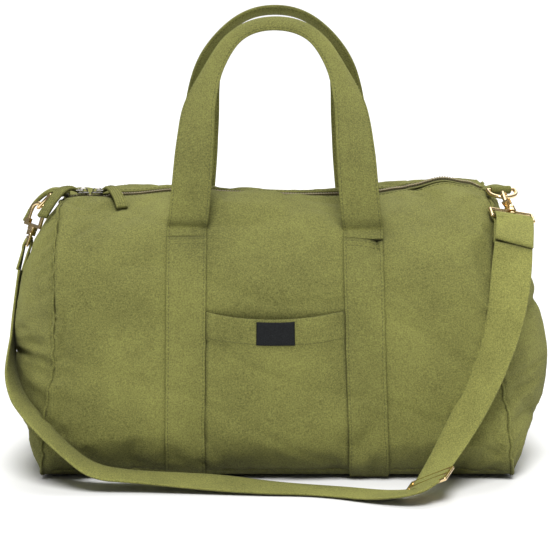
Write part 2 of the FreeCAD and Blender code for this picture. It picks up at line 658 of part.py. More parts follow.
LEFT_RING = {"middle": (-220.5, -6.0, 265.0), "outward": (-0.70, -0.05, -0.71), "bar": (0.0, 0.9975, -0.0702),
             "root": (-210.2, -6.0, 266.2)}
RIGHT_RING = {"middle": (220.3, -30.2, 272.3), "outward": (0.19, -0.935, -0.30), "bar": (0.98, 0.199, 0.0),
              "root": (211.0, -14.0, 267.2)}
LEFT_DOWN = (-0.30, -0.05, -0.95)
RIGHT_DOWN = (0.11, -0.88, -0.46)
RING_TAB_WIDTH = 20.0
RING_SLACK = 0.6


def ring_tip(ring):
    """Where the hook hangs: the crown of the D-ring's curve."""
    reach = dim("RingReach") + dim("RingRadius") - RING_SLACK
    return V(*ring["middle"]) + unit(V(*ring["outward"])) * reach


def end_tabs():
    """The short canvas tabs sewn over the ends of the zip."""
    ribbon_node("left_zip_end_tab", [
        ((-208.8, 18.5, 266.4), (0, 1, 0)),
        ((-224.0, 18.5, 267.0), (0, 1, 0)),
        ((-239.0, 18.5, 255.0), (0, 1, 0)),
        ((-249.0, 18.5, 237.0), (0, 1, 0)),
    ], 16.0, 2 * dim("StrapThickness"))
    ribbon_node("right_zip_end_tab", [
        ((208.8, 14.0, 266.4), (0, 1, 0)),
        ((220.0, 14.0, 269.0), (0, 1, 0)),
        ((230.0, 14.0, 268.0), (0, 1, 0)),
    ], 16.0, 2 * dim("StrapThickness"))


# The shoulder strap from the left hook, down the left end, across the floor in front and up to the
# right hook: (x, y, z) at the middle of the webbing and the direction across it.
STRAP_TO_GLIDE = [
    ((-251.2, -12.6, 190.0), (0.0, 1.0, 0.0)),
    ((-254.8, -18.0, 162.0), (0.0, 1.0, 0.0)),
    ((-257.0, -30.0, 133.0), (0.0, 0.97, -0.2)),
    ((-256.0, -50.0, 106.0), (0.0, 0.8, -0.6)),
    ((-243.0, -84.0, 82.0), (-0.2, 0.51, -0.83)),
    ((-220.0, -120.0, 60.0), (-0.3, 0.3, -0.88)),
    ((-194.0, -145.0, 40.0), (-0.3, -0.1, -0.93)),
    ((-168.0, -163.0, 22.0), (-0.2, -0.6, -0.72)),
    ((-134.0, -177.0, 12.5), (-0.08, -0.88, -0.42)),
    ((-94.0, -187.0, 8.4), (0.0, -0.95, -0.31)),
    ((-50.0, -190.0, 7.2), (0.0, -0.96, -0.27)),
    ((-8.0, -200.0, 4.8), (0.0, -0.98, -0.12)),
    ((30.0, -212.0, 3.0), (0.0, -1.0, -0.04)),
    ((66.0, -219.0, 3.0), (0.05, -1.0, 0.0)),
    ((98.0, -221.0, 5.0), (0.3, -0.95, 0.08)),
    ((121.0, -217.0, 9.5), (0.55, -0.75, 0.25)),
    ((135.0, -207.5, 14.4), (0.8, -0.42, 0.43)),
]
STRAP_TO_HOOK = [
    ((148.6, -174.0, 23.0), (0.82, -0.42, 0.4)),
    ((160.0, -155.0, 36.0), (0.88, -0.35, 0.15)),
    ((174.0, -138.0, 58.0), (0.93, -0.15, -0.2)),
    ((190.0, -129.5, 88.0), (0.95, 0.0, -0.3)),
    ((206.0, -129.0, 126.0), (0.97, 0.0, -0.2)),
    ((217.0, -129.0, 164.0), (0.99, 0.0, -0.1)),
    ((222.0, -125.0, 198.0), (1.0, 0.05, -0.05)),
    ((225.5, -110.5, 228.0), (0.96, 0.2, -0.15)),
]
GLIDE_MIDDLE = (142.0, -191.0, 18.5)
GLIDE_ALONG = (0.80, -0.42, 0.43)
GLIDE_FORWARD = (0.35, 0.90, 0.23)


def shoulder_strap():
    """The webbing in two lengths: left hook to tri-glide, and tri-glide to right hook."""
    width, thick = dim("StrapWidth"), dim("WebbingThickness")
    ribbon_node("shoulder_strap", STRAP_TO_GLIDE, width, thick)
    ribbon_node("shoulder_strap_upper", STRAP_TO_HOOK, width, thick)


def tri_glide():
    """The strap adjuster: a rectangle of wire with a middle bar."""
    half, height, wire = "@GlideHalfLength", "@GlideHalfHeight", "@GlideWire"
    rods = [rod("glide_bar_%d" % index, wire, "2 * " + half, "-" + half, y, "0", "X")
            for index, y in enumerate(["-" + height, "0", height])]
    rods += [rod("glide_end_%d" % index, wire, "2 * " + height, x, "-" + height, "0", "Y")
             for index, x in enumerate(["-" + half, half])]
    corners = [ball("glide_corner_%d" % index, wire, x, y)
               for index, (x, y) in enumerate([(half, height), ("-" + half, height),
                                               (half, "-" + height), ("-" + half, "-" + height)])]
    glide = fuse("tri_glide", rods + corners)
    across = V(*GLIDE_ALONG)
    glide.Placement = FreeCAD.Placement(
        V(*GLIDE_MIDDLE), Rotation(across, V(*GLIDE_FORWARD), across.cross(V(*GLIDE_FORWARD)), "XZY"))
    node("tri_glide", glide)


def patch_pocket():
    """Canvas sewn on between the straps, down to the base seam, its upper part a flat tray open above."""
    front_y = "@DepthShift - @HalfDepth"
    outer = box("pocket_outer", "2 * @PocketHalfWidth", "@PocketDepth - @StrapGap",
                "@PocketHigh - @PocketLow", "-@PocketHalfWidth", "%s - @PocketDepth" % front_y, "@PocketLow")
    inner = box("pocket_inner", "2 * (@PocketHalfWidth - @PocketWall)", "@PocketDepth",
                "@PocketHigh - @PocketLow", "@PocketWall - @PocketHalfWidth",
                "%s - @PocketDepth + @PocketWall" % front_y, "@PocketLow + @PocketWall")
    tray = cut("pocket_tray", outer, inner)
    ring = section_ring("pocket_ring", "-@StrapGap - @PocketWall", "-@StrapGap", "2 * @PocketHalfWidth")
    seam_z = "@FloorGap + @BaseRadius * 0.3"
    below = box("pocket_cutter", "2 * @PocketHalfWidth", BIG, "@PocketLow + @PocketWall - (%s)" % seam_z,
                "-@PocketHalfWidth", "-(%s)" % BIG, seam_z)
    node("front_pocket", fuse("front_pocket", [tray, common("pocket_base", [ring, below])]))
    node("woven_label", box("woven_label", "2 * @LabelHalfWidth", "@LabelThickness", "@LabelHeight",
                            "-@LabelHalfWidth", "%s - @PocketDepth - @LabelThickness" % front_y, "@LabelLow"))


# Each pull from its link over the front of the bag: (x, y, z) from the slider's hinge, direction across.
LEFT_PULL = [
    ((-13.0, -4.0, 2.2), (-0.5, 0.86, 0.0)),
    ((-17.5, -20.0, 3.6), (-0.97, 0.2, 0.0)),
    ((-23.0, -37.0, -0.5), (-0.9, 0.4, -0.1)),
    ((-28.5, -50.0, -8.5), (-0.9, 0.4, -0.1)),
]
RIGHT_PULL = [
    ((13.0, -7.0, 1.2), (0.6, 0.8, 0.0)),
    ((18.0, -24.0, 0.6), (0.95, 0.3, 0.0)),
    ((26.0, -44.0, -6.0), (0.9, 0.4, 0.0)),
]


def zip_pulls():
    """Both sliders stand near the left end, each with its own pull lying over the front."""
    for side, x, lean, hang in (("left", -190.0, -1.0, LEFT_PULL), ("right", -176.0, 1.0, RIGHT_PULL)):
        hinge_z = zip_slider(side + "_slider", "(%r)" % x)
        hinge = V(x, dim("DepthShift"), hinge_z)
        start, width, thick = zip_pull(side + "_pull", x, hinge_z, lean)
        route = [(tuple(start), (0.0, 1.0, 0.0))]
        route += [(tuple(hinge + V(*offset)), across) for offset, across in hang]
        ribbon_node(side + "_pull_strip", route, width, thick)
        print("%s slider hinge at %s" % (side, listed(hinge)))


def build():
    bag_panels()
    seam_bindings()
    handle_strap_runs()
    zip_rows()
    zip_pulls()
    patch_pocket()
    handles()
    end_tabs()
    for side, ring, down, across in (
            ("left", LEFT_RING, LEFT_DOWN, {"hook": (-0.88, 0.40, 0.25), "loop": (-0.05, 1.0, 0.0)}),
            ("right", RIGHT_RING, RIGHT_DOWN, {"hook": (0.55, 0.40, -0.72), "loop": (0.96, 0.0, -0.28)})):
        d_ring(side + "_d_ring", ring["middle"], ring["outward"], ring["bar"])
        ring_tab(side + "_ring_tab", ring["root"], ring["middle"], ring["bar"], RING_TAB_WIDTH)
        loop_turn, bar = hook_parts(side, ring_tip(ring), unit(V(*down)), across)
        axis = loop_turn.multVec(V(1, 0, 0))
        end = STRAP_TO_GLIDE[0][0] if side == "left" else STRAP_TO_HOOK[-1][0]
        toward = V(*end) - bar
        strap_fold(side + "_strap_fold", bar, axis, bar + toward * (1 - 2.5 / toward.Length),
                   dim("StrapWidth"))
        print("%s ring tip %s, loop bar at %s along %s" % (side, listed(ring_tip(ring)), listed(bar), listed(axis)))
    shoulder_strap()
    tri_glide()
    DOC.recompute()


def check_and_write():
    """Stops on any failed object or bad shape, then writes one STEP file for each sub-part."""
    for thing in DOC.Objects:
        if "Invalid" in thing.State or "Error" in thing.State:
            raise RuntimeError("failed object: %s %s" % (thing.Name, thing.State))
    for thing in NODES:
        if thing.Shape.isNull() or not thing.Shape.isValid() or thing.Shape.Volume <= 0:
            raise RuntimeError("bad shape: %s" % thing.Label)
    os.makedirs("parts", exist_ok=True)
    for thing in NODES:
        thing.Shape.exportStep(os.path.join("parts", thing.Label + ".step"))
    print("%d sub-parts written" % len(NODES))


build()
check_and_write()
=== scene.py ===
"""Looks of a canvas duffel bag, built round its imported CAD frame.  Metres, +Z up, -Y is the front."""

import math

import bmesh
import bpy
import numpy as np
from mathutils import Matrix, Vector, noise


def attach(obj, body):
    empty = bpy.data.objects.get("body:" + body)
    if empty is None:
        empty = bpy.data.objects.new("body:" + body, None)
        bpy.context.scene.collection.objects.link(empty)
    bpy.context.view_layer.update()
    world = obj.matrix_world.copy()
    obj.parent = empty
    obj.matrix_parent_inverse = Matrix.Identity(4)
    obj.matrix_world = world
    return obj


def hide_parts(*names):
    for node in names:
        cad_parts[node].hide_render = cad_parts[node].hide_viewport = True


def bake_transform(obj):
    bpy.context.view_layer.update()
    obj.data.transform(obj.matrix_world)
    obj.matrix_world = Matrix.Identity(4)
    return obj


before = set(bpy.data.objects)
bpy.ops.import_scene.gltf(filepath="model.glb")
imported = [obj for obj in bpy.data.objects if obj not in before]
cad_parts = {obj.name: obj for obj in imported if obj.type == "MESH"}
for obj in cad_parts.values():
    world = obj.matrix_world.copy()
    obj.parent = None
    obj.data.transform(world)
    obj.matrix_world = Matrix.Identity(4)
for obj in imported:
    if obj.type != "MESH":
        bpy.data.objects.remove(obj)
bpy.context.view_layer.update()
MM = 0.001
ROOT = "bag"


# ---- materials

def preset(node, **values):
    """Sets a node's inputs by name, with _ for a space."""
    for name, value in values.items():
        node.inputs[name.replace("_", " ")].default_value = value


def shader(name, roughness, metallic=0.0, sheen=0.0):
    """A new node material; returns it with its node tree, principled node and position source."""
    material = bpy.data.materials.new(name)
    material.use_nodes = True
    tree = material.node_tree
    finish = tree.nodes["Principled BSDF"]
    preset(finish, Roughness=roughness, Metallic=metallic, Sheen_Weight=sheen, Sheen_Roughness=0.6)
    place = tree.nodes.new("ShaderNodeTexCoord")
    return material, tree, finish, place.outputs["Object"]


def noise_node(tree, place, scale, detail=3.0, rough=0.6, stretch=None):
    if stretch:
        mapping = tree.nodes.new("ShaderNodeMapping")
        mapping.inputs["Scale"].default_value = stretch
        tree.links.new(place, mapping.inputs["Vector"])
        place = mapping.outputs["Vector"]
    node = tree.nodes.new("ShaderNodeTexNoise")
    preset(node, Scale=scale, Detail=detail, Roughness=rough)
    tree.links.new(place, node.inputs["Vector"])
    return node.outputs["Fac"]


def wave_node(tree, place, scale, axis):
    node = tree.nodes.new("ShaderNodeTexWave")
    node.bands_direction = axis
    preset(node, Scale=scale, Distortion=1.2, Detail=1.0)
    tree.links.new(place, node.inputs["Vector"])
    return node.outputs["Fac"]


def math_node(tree, operation, *values):
    node = tree.nodes.new("ShaderNodeMath")
    node.operation = operation
    for socket, value in zip(node.inputs, values):
        if isinstance(value, (int, float)):
            socket.default_value = value
        else:
            tree.links.new(value, socket)
    return node.outputs[0]


def ramp(tree, factor, stops):
    node = tree.nodes.new("ShaderNodeValToRGB")
    while len(node.color_ramp.elements) < len(stops):
        node.color_ramp.elements.new(0.5)
    for element, (position, color) in zip(node.color_ramp.elements, stops):
        element.position = position
        element.color = (*color, 1.0)
    tree.links.new(factor, node.inputs["Fac"])
    return node.outputs["Color"]


def bump(tree, finish, height, distance, strength=1.0):
    node = tree.nodes.new("ShaderNodeBump")
    preset(node, Distance=distance, Strength=strength)
    tree.links.new(height, node.inputs["Height"])
    tree.links.new(node.outputs["Normal"], finish.inputs["Normal"])


def shade(color, factor):
    return tuple(min(channel * factor, 1.0) for channel in color)


def painted_occlusion_shade(tree, tone):
    """Paints shade into a colour: darker in folds, beside edges and under the bag, by ambient
    occlusion.
    """
    hollow = tree.nodes.new("ShaderNodeAmbientOcclusion")
    hollow.samples = 6
    preset(hollow, Distance=0.05)
    depth = ramp(tree, hollow.outputs["AO"], [(0.15, (0.36, 0.36, 0.34)), (0.62, (0.86, 0.86, 0.85)),
                                              (0.95, (1.0, 1.0, 1.0))])
    mix = tree.nodes.new("ShaderNodeMix")
    mix.data_type = "RGBA"
    mix.blend_type = "MULTIPLY"
    mix.inputs["Factor"].default_value = 1.0
    tree.links.new(tone, mix.inputs[6])
    tree.links.new(depth, mix.inputs[7])
    return mix.outputs[2]


def fabric(name, color, weave=900.0, relief=0.0008, contrast=0.27):
    """Woven cloth: crossing threads, flecks and broad, faint unevenness of the dye, with painted shade
    in its hollows.
    """
    material, tree, finish, place = shader(name, 0.9, sheen=0.04)
    preset(finish, Specular_IOR_Level=0.18)
    threads = math_node(tree, "ADD", *(wave_node(tree, place, weave, axis) for axis in "XZ"))
    flecks = noise_node(tree, place, 760.0, 3.0, 0.7)
    broad = noise_node(tree, place, 14.0, 4.0, 0.6)
    mixed = math_node(tree, "ADD", math_node(tree, "MULTIPLY", flecks, 0.7),
                      math_node(tree, "MULTIPLY", broad, 0.3))
    tone = ramp(tree, mixed, [(0.32, shade(color, 1.0 - 2.0 * contrast)), (0.5, color),
                              (0.66, shade(color, 1.0 + 1.9 * contrast))])
    # painted shade: ambient occlusion darkens the cloth's colour in folds, beside edges and under the
    # bag
    tree.links.new(painted_occlusion_shade(tree, tone), finish.inputs["Base Color"])
    height = math_node(tree, "ADD", math_node(tree, "MULTIPLY", threads, 0.3), flecks)
    bump(tree, finish, height, relief)
    return material


def metal(name, color, rough, wear=0.15):
    """Plated metal: slightly uneven gloss with fine scratches."""
    material, tree, finish, place = shader(name, rough, metallic=1.0)
    patches = noise_node(tree, place, 160.0, 4.0, 0.6)
    scratches = noise_node(tree, place, 900.0, 3.0, 0.7, stretch=(1.0, 0.25, 1.0))
    tone = ramp(tree, patches, [(0.3, shade(color, 1.0 - wear)), (0.7, shade(color, 1.0 + wear * 0.4))])
    tree.links.new(tone, finish.inputs["Base Color"])
    gloss = math_node(tree, "MULTIPLY_ADD", scratches, 0.18, rough - 0.08)
    tree.links.new(gloss, finish.inputs["Roughness"])
    bump(tree, finish, scratches, 0.00004, 0.5)
    return material


OLIVE = (0.298, 0.298, 0.080)
CANVAS = fabric("canvas", OLIVE)
LINING = fabric("lining_tape", shade(OLIVE, 0.5))
STRAP = fabric("strap_canvas", shade(OLIVE, 1.06), weave=1100.0)
WEBBING = fabric("webbing", shade(OLIVE, 0.92), weave=800.0, relief=0.0004)
THREAD = fabric("thread", (0.20, 0.20, 0.06), weave=2500.0, relief=0.0001, contrast=0.1)
TAPE = fabric("zip_tape", shade(OLIVE, 0.85), weave=1500.0)
LABEL = fabric("black_label", (0.012, 0.014, 0.016), weave=1800.0, contrast=0.3)
ZIP_METAL = metal("antique_brass", (0.30, 0.255, 0.15), 0.38, 0.3)
GUNMETAL = metal("slider_metal", (0.22, 0.21, 0.19), 0.32, 0.2)
GOLD = metal("light_gold", (0.86, 0.66, 0.36), 0.18, 0.08)


# ---- mesh helpers

def new_object(name, data):
    """An object of this data, linked into the scene."""
    thing = bpy.data.objects.new(name, data)
    bpy.context.scene.collection.objects.link(thing)
    return thing


def row_faces(rows, count, base=0, closed=True, turned=False, capped=False):
    """Quads between rows of count points; closed rows join up, and capped ones have end faces."""
    faces = []
    for row in range(rows - 1):
        for k in range(count if closed else count - 1):
            a, b = base + row * count + k, base + row * count + (k + 1) % count
            faces.append((a, a + count, b + count, b) if turned else (a, b, b + count, a + count))
    if capped:
        first = tuple(range(base, base + count))
        last = tuple(k + (rows - 1) * count for k in first)
        faces += [first, last[::-1]] if turned else [first[::-1], last]
    return faces


def add_piece(name, verts, faces, material, body=ROOT, replaced=(), smooth=True, closed=False):
    """A mesh that rides on a body and stands for CAD nodes; body None leaves it unattached."""
    mesh = bpy.data.meshes.new(name)
    mesh.from_pydata([tuple(v) for v in verts], [], [tuple(f) for f in faces])
    mesh.validate()
    mesh.shade_smooth() if smooth else mesh.shade_flat()
    mesh.materials.append(material)
    if closed:
        work = bmesh.new()
        work.from_mesh(mesh)
        bmesh.ops.recalc_face_normals(work, faces=work.faces)
        work.to_mesh(mesh)
        work.free()
    thing = new_object(name, mesh)
    if body:
        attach(thing, body)
    if replaced:
        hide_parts(*replaced)
    return thing


def smoothstep(value, low=0.0, high=1.0):
    t = np.clip((value - low) / (high - low), 0.0, 1.0)
    return t * t * (3 - 2 * t)


def eased(x, knots):
    """Smooth interpolation through (x, value) knots."""
    xs = [k[0] for k in knots]
    index = int(np.clip(np.searchsorted(xs, x) - 1, 0, len(knots) - 2))
    (x0, v0), (x1, v1) = knots[index], knots[index + 1]
    return v0 + (v1 - v0) * float(smoothstep(x, x0, x1))


def catmull(points, steps):
    """Points along a smooth curve through the given ones."""
    pts = [np.array(p, float) for p in points]
    pts = [2 * pts[0] - pts[1]] + pts + [2 * pts[-1] - pts[-2]]
    line = []
    for a, b, c, d in zip(pts, pts[1:], pts[2:], pts[3:]):
        for step in range(steps):
            t = step / steps
            line.append(0.5 * (2 * b + (c - a) * t + (2 * a - 5 * b + 4 * c - d) * t ** 2
                               + (3 * b - a - 3 * c + d) * t ** 3))
    return line + [pts[-2]]


def normalised(vector):
    vector = np.asarray(vector, float)
    return vector / max(float(np.linalg.norm(vector)), 1e-12)


def strip_profile(width, thickness, across=8):
    """The rounded flat section of a strap: (share across from -1 to 1, height)."""
    half = thickness / 2
    lip = min(half, width * 0.1) / (width / 2)
    tops = [-1 + lip + (2 - 2 * lip) * i / across for i in range(across + 1)]
    edge, shoulder = 1 - lip * 0.3, half * 0.72
    upper = [(-1.0, 0.0), (-edge, shoulder)] + [(t, half) for t in tops] + [(edge, shoulder)]
    lower = [(1.0, 0.0), (edge, -shoulder)] + [(t, -half) for t in reversed(tops)]
    return upper + lower + [(-edge, -shoulder)]


def sweep(name, stations, width, thickness, material, body=ROOT, replaced=(), across=8):
    """A closed strip; each station gives the point at a share of its width and a height."""
    profile = strip_profile(width, thickness, across)
    verts = [station(share, height) for station in stations for share, height in profile]
    faces = row_faces(len(stations), len(profile), turned=True, capped=True)
    return add_piece(name, verts, faces, material, body, replaced, closed=True)


def path_frames(points, sides):
    """Unit tangents, sideways and normals along a path with wanted sideways directions."""
    frames = []
    for index, point in enumerate(points):
        ahead = points[min(index + 1, len(points) - 1)] - points[max(index - 1, 0)]
        along = normalised(ahead)
        side = normalised(sides[index] - along * float(np.dot(sides[index], along)))
        frames.append((along, side, np.cross(side, along)))
    return frames


def stitch_mesh(name, marks, body=ROOT, size=(1.5, 0.42, 0.3)):
    """Raised stitches: marks are (point, along, normal); each is a small eight-sided lozenge."""
    length, wide, high = (value * MM for value in size)
    verts, faces = [], []
    for point, along, normal in marks:
        across = np.cross(along, normal)
        base = len(verts)
        for shift, scale in ((-1.0, 0.35), (-0.45, 1.0), (0.45, 1.0), (1.0, 0.35)):
            centre = point + along * (shift * length)
            for side, up in ((-1.0, -0.3), (-0.55, 0.8), (0.55, 0.8), (1.0, -0.3)):
                verts.append(centre + across * (side * wide * scale) + normal * (up * high * scale))
        faces += row_faces(4, 4, base, capped=True)
    return add_piece(name, verts, faces, THREAD, body, closed=True)


def marks_along(points, normals, pitch=4.2):
    """Evenly spaced stitch marks along a polyline."""
    marks, carry = [], pitch * MM * 0.5
    for index in range(len(points) - 1):
        step = points[index + 1] - points[index]
        length = float(np.linalg.norm(step))
        along = step / max(length, 1e-9)
        while carry < length:
            share = carry / length
            normal = normalised(normals[index] * (1 - share) + normals[index + 1] * share)
            marks.append((points[index] + step * share, along, normal))
            carry += pitch * MM
        carry -= length
    return marks


# ---- the bag's canvas

FRONT_Y, BACK_Y, BASE_Z, TOP_Z = -121.0, 125.4, 2.6, 262.6
TOP_R, BASE_R, MID_Y = 100.0, 34.0, 2.2
ZIP_HALF = 12.0
SEAM = 211.0
# How far the filled bag lifts its top above the plain section: (x, rise) in mm, at and beside the zip.
ZIP_RISE = [(-225, -9), (-206, -1.5), (-190, 0.0), (-176, 0.4), (-150, 2.0), (-100, 3.0), (-50, 2.6),
            (0, 2.4), (50, 2.0), (100, 4.5), (135, 11.0), (166, 18.0), (190, 13.0), (206, 7.5),
            (225, 1.0)]
FRONT_CREST = [(-215, 0.0), (-150, 1.0), (-105, 4.0), (-55, 13.0), (0, 15.5), (40, 12.0), (90, 5.0),
               (150, 6.0), (215, 5.0)]
BACK_CREST = [(-215, 4.0), (-185, 9.0), (-150, 16.0), (-90, 17.5), (-40, 14.0), (0, 13.0), (45, 14.0),
              (100, 18.0), (160, 19.0), (215, 14.0)]


def section_loop(step):
    """The bag's cross-section from the zip's front edge down the front, round and back over the zip."""
    loop = []

    def run(start, end):
        count = max(1, round(math.dist(start, end) / step))
        for i in range(count):
            t = i / count
            loop.append((start[0] + (end[0] - start[0]) * t, start[1] + (end[1] - start[1]) * t))

    def arc(centre, radius, first, last):
        count = max(1, round(radius * abs(math.radians(last - first)) / step))
        for i in range(count):
            angle = math.radians(first + (last - first) * i / count)
            loop.append((centre[0] + radius * math.cos(angle), centre[1] + radius * math.sin(angle)))

    run((MID_Y - ZIP_HALF, TOP_Z), (FRONT_Y + TOP_R, TOP_Z))
    arc((FRONT_Y + TOP_R, TOP_Z - TOP_R), TOP_R, 90, 180)
    run((FRONT_Y, TOP_Z - TOP_R), (FRONT_Y, BASE_Z + BASE_R))
    arc((FRONT_Y + BASE_R, BASE_Z + BASE_R), BASE_R, 180, 270)
    run((FRONT_Y + BASE_R, BASE_Z), (BACK_Y - BASE_R, BASE_Z))
    arc((BACK_Y - BASE_R, BASE_Z + BASE_R), BASE_R, -90, 0)
    run((BACK_Y, BASE_Z + BASE_R), (BACK_Y, TOP_Z - TOP_R))
    arc((BACK_Y - TOP_R, TOP_Z - TOP_R), TOP_R, 0, 90)
    run((BACK_Y - TOP_R, TOP_Z), (MID_Y + ZIP_HALF, TOP_Z))
    split = len(loop)
    run((MID_Y + ZIP_HALF, TOP_Z), (MID_Y - ZIP_HALF, TOP_Z))
    return np.array(loop), split


# Grid step (mm), stations between the seams, rings in each end.
GRID_STEP = 4.0
RUN, END_RINGS = 106, 15
LOOP, ZIP_START = section_loop(GRID_STEP)
ROUND = len(LOOP)
# How far each end's seam spreads low down and its dome stands out (mm), left and right.
SEAM_SPREAD = {-1: 13.0, 1: 17.0}
END_BULGE = {-1: 37.0, 1: 46.0}
# Middle of each sewn strap, from the bag's middle (mm).
STRAP_X = 82.5


def wobble(x, y, z, scale, seed):
    return noise.noise(Vector((x / scale + seed, y / scale - seed, z / scale + 0.37 * seed)))


def crease(x, y, z, scale, seed):
    """A ridged noise: mostly flat, with narrow valleys."""
    return 1.0 - min(abs(wobble(x, y, z, scale, seed)) * 4.0, 1.0)


def seam_x(side, z):
    """How far out an end seam stands at this height; the filled bag spreads low down."""
    low = 1.0 - float(smoothstep(z, 20.0, 170.0))
    return SEAM + SEAM_SPREAD[side] * low


def shaped(share, y, z):
    """A point of the main panels: share runs -1 to 1 from seam to seam."""
    side = -1 if share < 0 else 1
    x = share * seam_x(side, z)
    top = float(smoothstep(z, 190.0, 262.0))
    lift = eased(x, FRONT_CREST) * math.exp(-((y + 60) / 34) ** 2)
    lift += eased(x, BACK_CREST) * math.exp(-((y - 64) / 38) ** 2)
    lift += eased(x, ZIP_RISE) * math.exp(-((y - MID_Y) / 26) ** 2)
    z_new = z + lift * top
    # straps pull the canvas in, the load pushes it out between them
    between = math.cos(math.pi * min(abs(abs(x) - STRAP_X) / 66.0, 1.0))
    height = math.sin(math.pi * min(max((z - 10) / 240, 0.0), 1.0))
    push = -1.8 * between * height + 1.2
    y_new = y + (push if y > MID_Y else -push) * float(smoothstep(abs(y - MID_Y), 60, 118))
    return x, y_new, z_new


def build_canvas_grid():
    """Grid of points [station][round] for the whole closed bag, ends included."""
    stations = []
    for i in range(RUN + 1):
        share = -1.0 + 2.0 * i / RUN
        stations.append([shaped(share, y, z) for y, z in LOOP])
    grid = np.array(stations)

    def end(side):
        rim = grid[0] if side < 0 else grid[-1]
        centre = np.array([0.0, MID_Y + 2.0, 122.0])
        rings = []
        for ring in range(1, END_RINGS + 1):
            s = 1.0 - ring / (END_RINGS + 0.6)
            out = END_BULGE[side] * (1.0 - s ** 2.7)
            points = []
            for p in rim:
                q = centre + (p - centre) * s
                lean = 1.0 - 0.25 * float(smoothstep(q[2], 120, 265))
                lean -= 0.38 * (1.0 - float(smoothstep(q[2], 30, 125)))
                points.append((side * (seam_x(side, q[2]) + out * lean), q[1], q[2]))
            rings.append(points)
        return np.array(rings)

    left, right = end(-1), end(1)
    return np.concatenate([left[::-1], grid, right])


def grid_normals(grid):
    along = np.gradient(grid, axis=0)
    around = np.roll(grid, -1, axis=1) - np.roll(grid, 1, axis=1)
    normal = np.cross(around, along)
    length = np.linalg.norm(normal, axis=2, keepdims=True)
    normal = normal / np.maximum(length, 1e-9)
    middle = grid.mean(axis=(0, 1))
    flip = np.sign(np.sum(normal * (grid - middle), axis=2).mean())
    return normal * flip


# Where the slack canvas caves in: place, width (mm) and depth (mm).
DENTS = [((-214.0, -112.0, 110.0), 15.0, 7.0), ((-226.0, -92.0, 134.0), 12.0, 5.0),
         ((-196.0, -121.0, 106.0), 9.0, 3.0), ((216.0, -112.0, 88.0), 16.0, 5.0),
         ((232.0, -84.0, 60.0), 14.0, 4.0), ((-205.0, -118.0, 46.0), 14.0, 3.5),
         ((150.0, -60.0, 268.0), 18.0, 3.0), ((-212.0, 112.0, 120.0), 15.0, 5.0),
         ((214.0, 112.0, 100.0), 16.0, 5.0)]


def wrinkled(grid):
    """Adds the canvas's slack: broad waves, creases, puckers at the seams."""
    normals = grid_normals(grid)
    out = grid.copy()
    first, last = END_RINGS, END_RINGS + RUN
    for i in range(grid.shape[0]):
        for j in range(ROUND):
            x, y, z = grid[i, j]
            floor = float(smoothstep(z, 3.0, 30.0))
            move = 4.2 * wobble(x, y * 0.8, z, 105, 1.3) + 1.9 * wobble(x * 0.7, y, z * 1.2, 46, 4.1)
            move -= 2.6 * crease(x * 0.55 + z * 0.35, y * 0.6, z, 88, 8.2) ** 3
            near = min(abs(i - first), abs(i - last))
            in_end = i < first or i > last
            if in_end:
                move += 2.2 * wobble(x, y, z, 70, 12.0)
                move -= 2.4 * crease(x, y * 0.8, z * 0.8, 110, 15.5) ** 2
            seam = math.exp(-(near / 1.1) ** 2)
            pucker = math.sin(j * 1.15 + 1.7 * math.sin(j * 0.23)) * math.exp(-near / 4.5)
            move = move * (1 - 0.7 * math.exp(-(near / 3.0) ** 2)) - 3.2 * seam + 0.75 * pucker
            for (dx, dy, dz), width, deep in DENTS:
                away = ((x - dx) ** 2 + (y - dy) ** 2 + ((z - dz) / 0.75) ** 2) / width ** 2
                if away < 9.0:
                    move -= deep * math.exp(-away)
            move *= floor
            out[i, j] = grid[i, j] + normals[i, j] * move
            out[i, j, 2] = max(out[i, j, 2], BASE_Z)
    return out


CLOTH_SETTINGS = {
    "quality": 6, "mass": 0.35, "tension_stiffness": 18.0, "compression_stiffness": 6.0,
    "shear_stiffness": 6.0, "bending_stiffness": 0.6, "use_pressure": True,
    "uniform_pressure_force": 3.0, "vertex_group_mass": "hold", "shrink_min": -0.035,
}


def relax_cloth(grid, cap=7.0, frames=20):
    """Inflates the canvas with the cloth solver; no point moves further than cap (mm)."""
    count = grid.shape[0]
    verts = (grid * MM).reshape(-1, 3)
    faces = row_faces(count, ROUND)
    faces.append(tuple(range(ROUND)))
    faces.append(tuple(reversed(range((count - 1) * ROUND, count * ROUND))))
    mesh = bpy.data.meshes.new("cloth_work")
    mesh.from_pydata([tuple(v) for v in verts], [], faces)
    mesh.validate()
    work = new_object("cloth_work", mesh)
    hold = work.vertex_groups.new(name="hold")
    for i in range(count):
        for j in range(ROUND):
            z = grid[i, j, 2]
            near = min(abs(i - END_RINGS), abs(i - END_RINGS - RUN))
            weight = 0.0
            if z < 6.0 or j >= ZIP_START or j < 3 or j > ZIP_START - 3:
                weight = 1.0
            elif near <= 1:
                weight = 0.6
            if weight:
                hold.add([i * ROUND + j], weight, "REPLACE")
    cloth = work.modifiers.new("cloth", "CLOTH")
    for setting, value in CLOTH_SETTINGS.items():
        setattr(cloth.settings, setting, value)
    cloth.settings.effector_weights.gravity = 0.0
    cloth.collision_settings.use_collision = False
    cloth.point_cache.frame_start = 1
    cloth.point_cache.frame_end = frames
    scene = bpy.context.scene
    for number in range(1, frames + 1):
        scene.frame_set(number)
    done = work.evaluated_get(bpy.context.evaluated_depsgraph_get())
    result = np.array([v.co for v in done.data.vertices], float).reshape(grid.shape) / MM
    scene.frame_set(1)
    bpy.data.objects.remove(work, do_unlink=True)
    move = result - grid
    length = np.linalg.norm(move, axis=2, keepdims=True)
    move = move * np.minimum(1.0, cap / np.maximum(length, 1e-6))
    out = grid + np.where(np.isfinite(move), move, 0.0)
    out[:, :, 2] = np.maximum(out[:, :, 2], BASE_Z)
    return out


CANVAS_GRID = wrinkled(build_canvas_grid())
CANVAS_GRID = relax_cloth(CANVAS_GRID)
CANVAS_NORMALS = grid_normals(CANVAS_GRID)


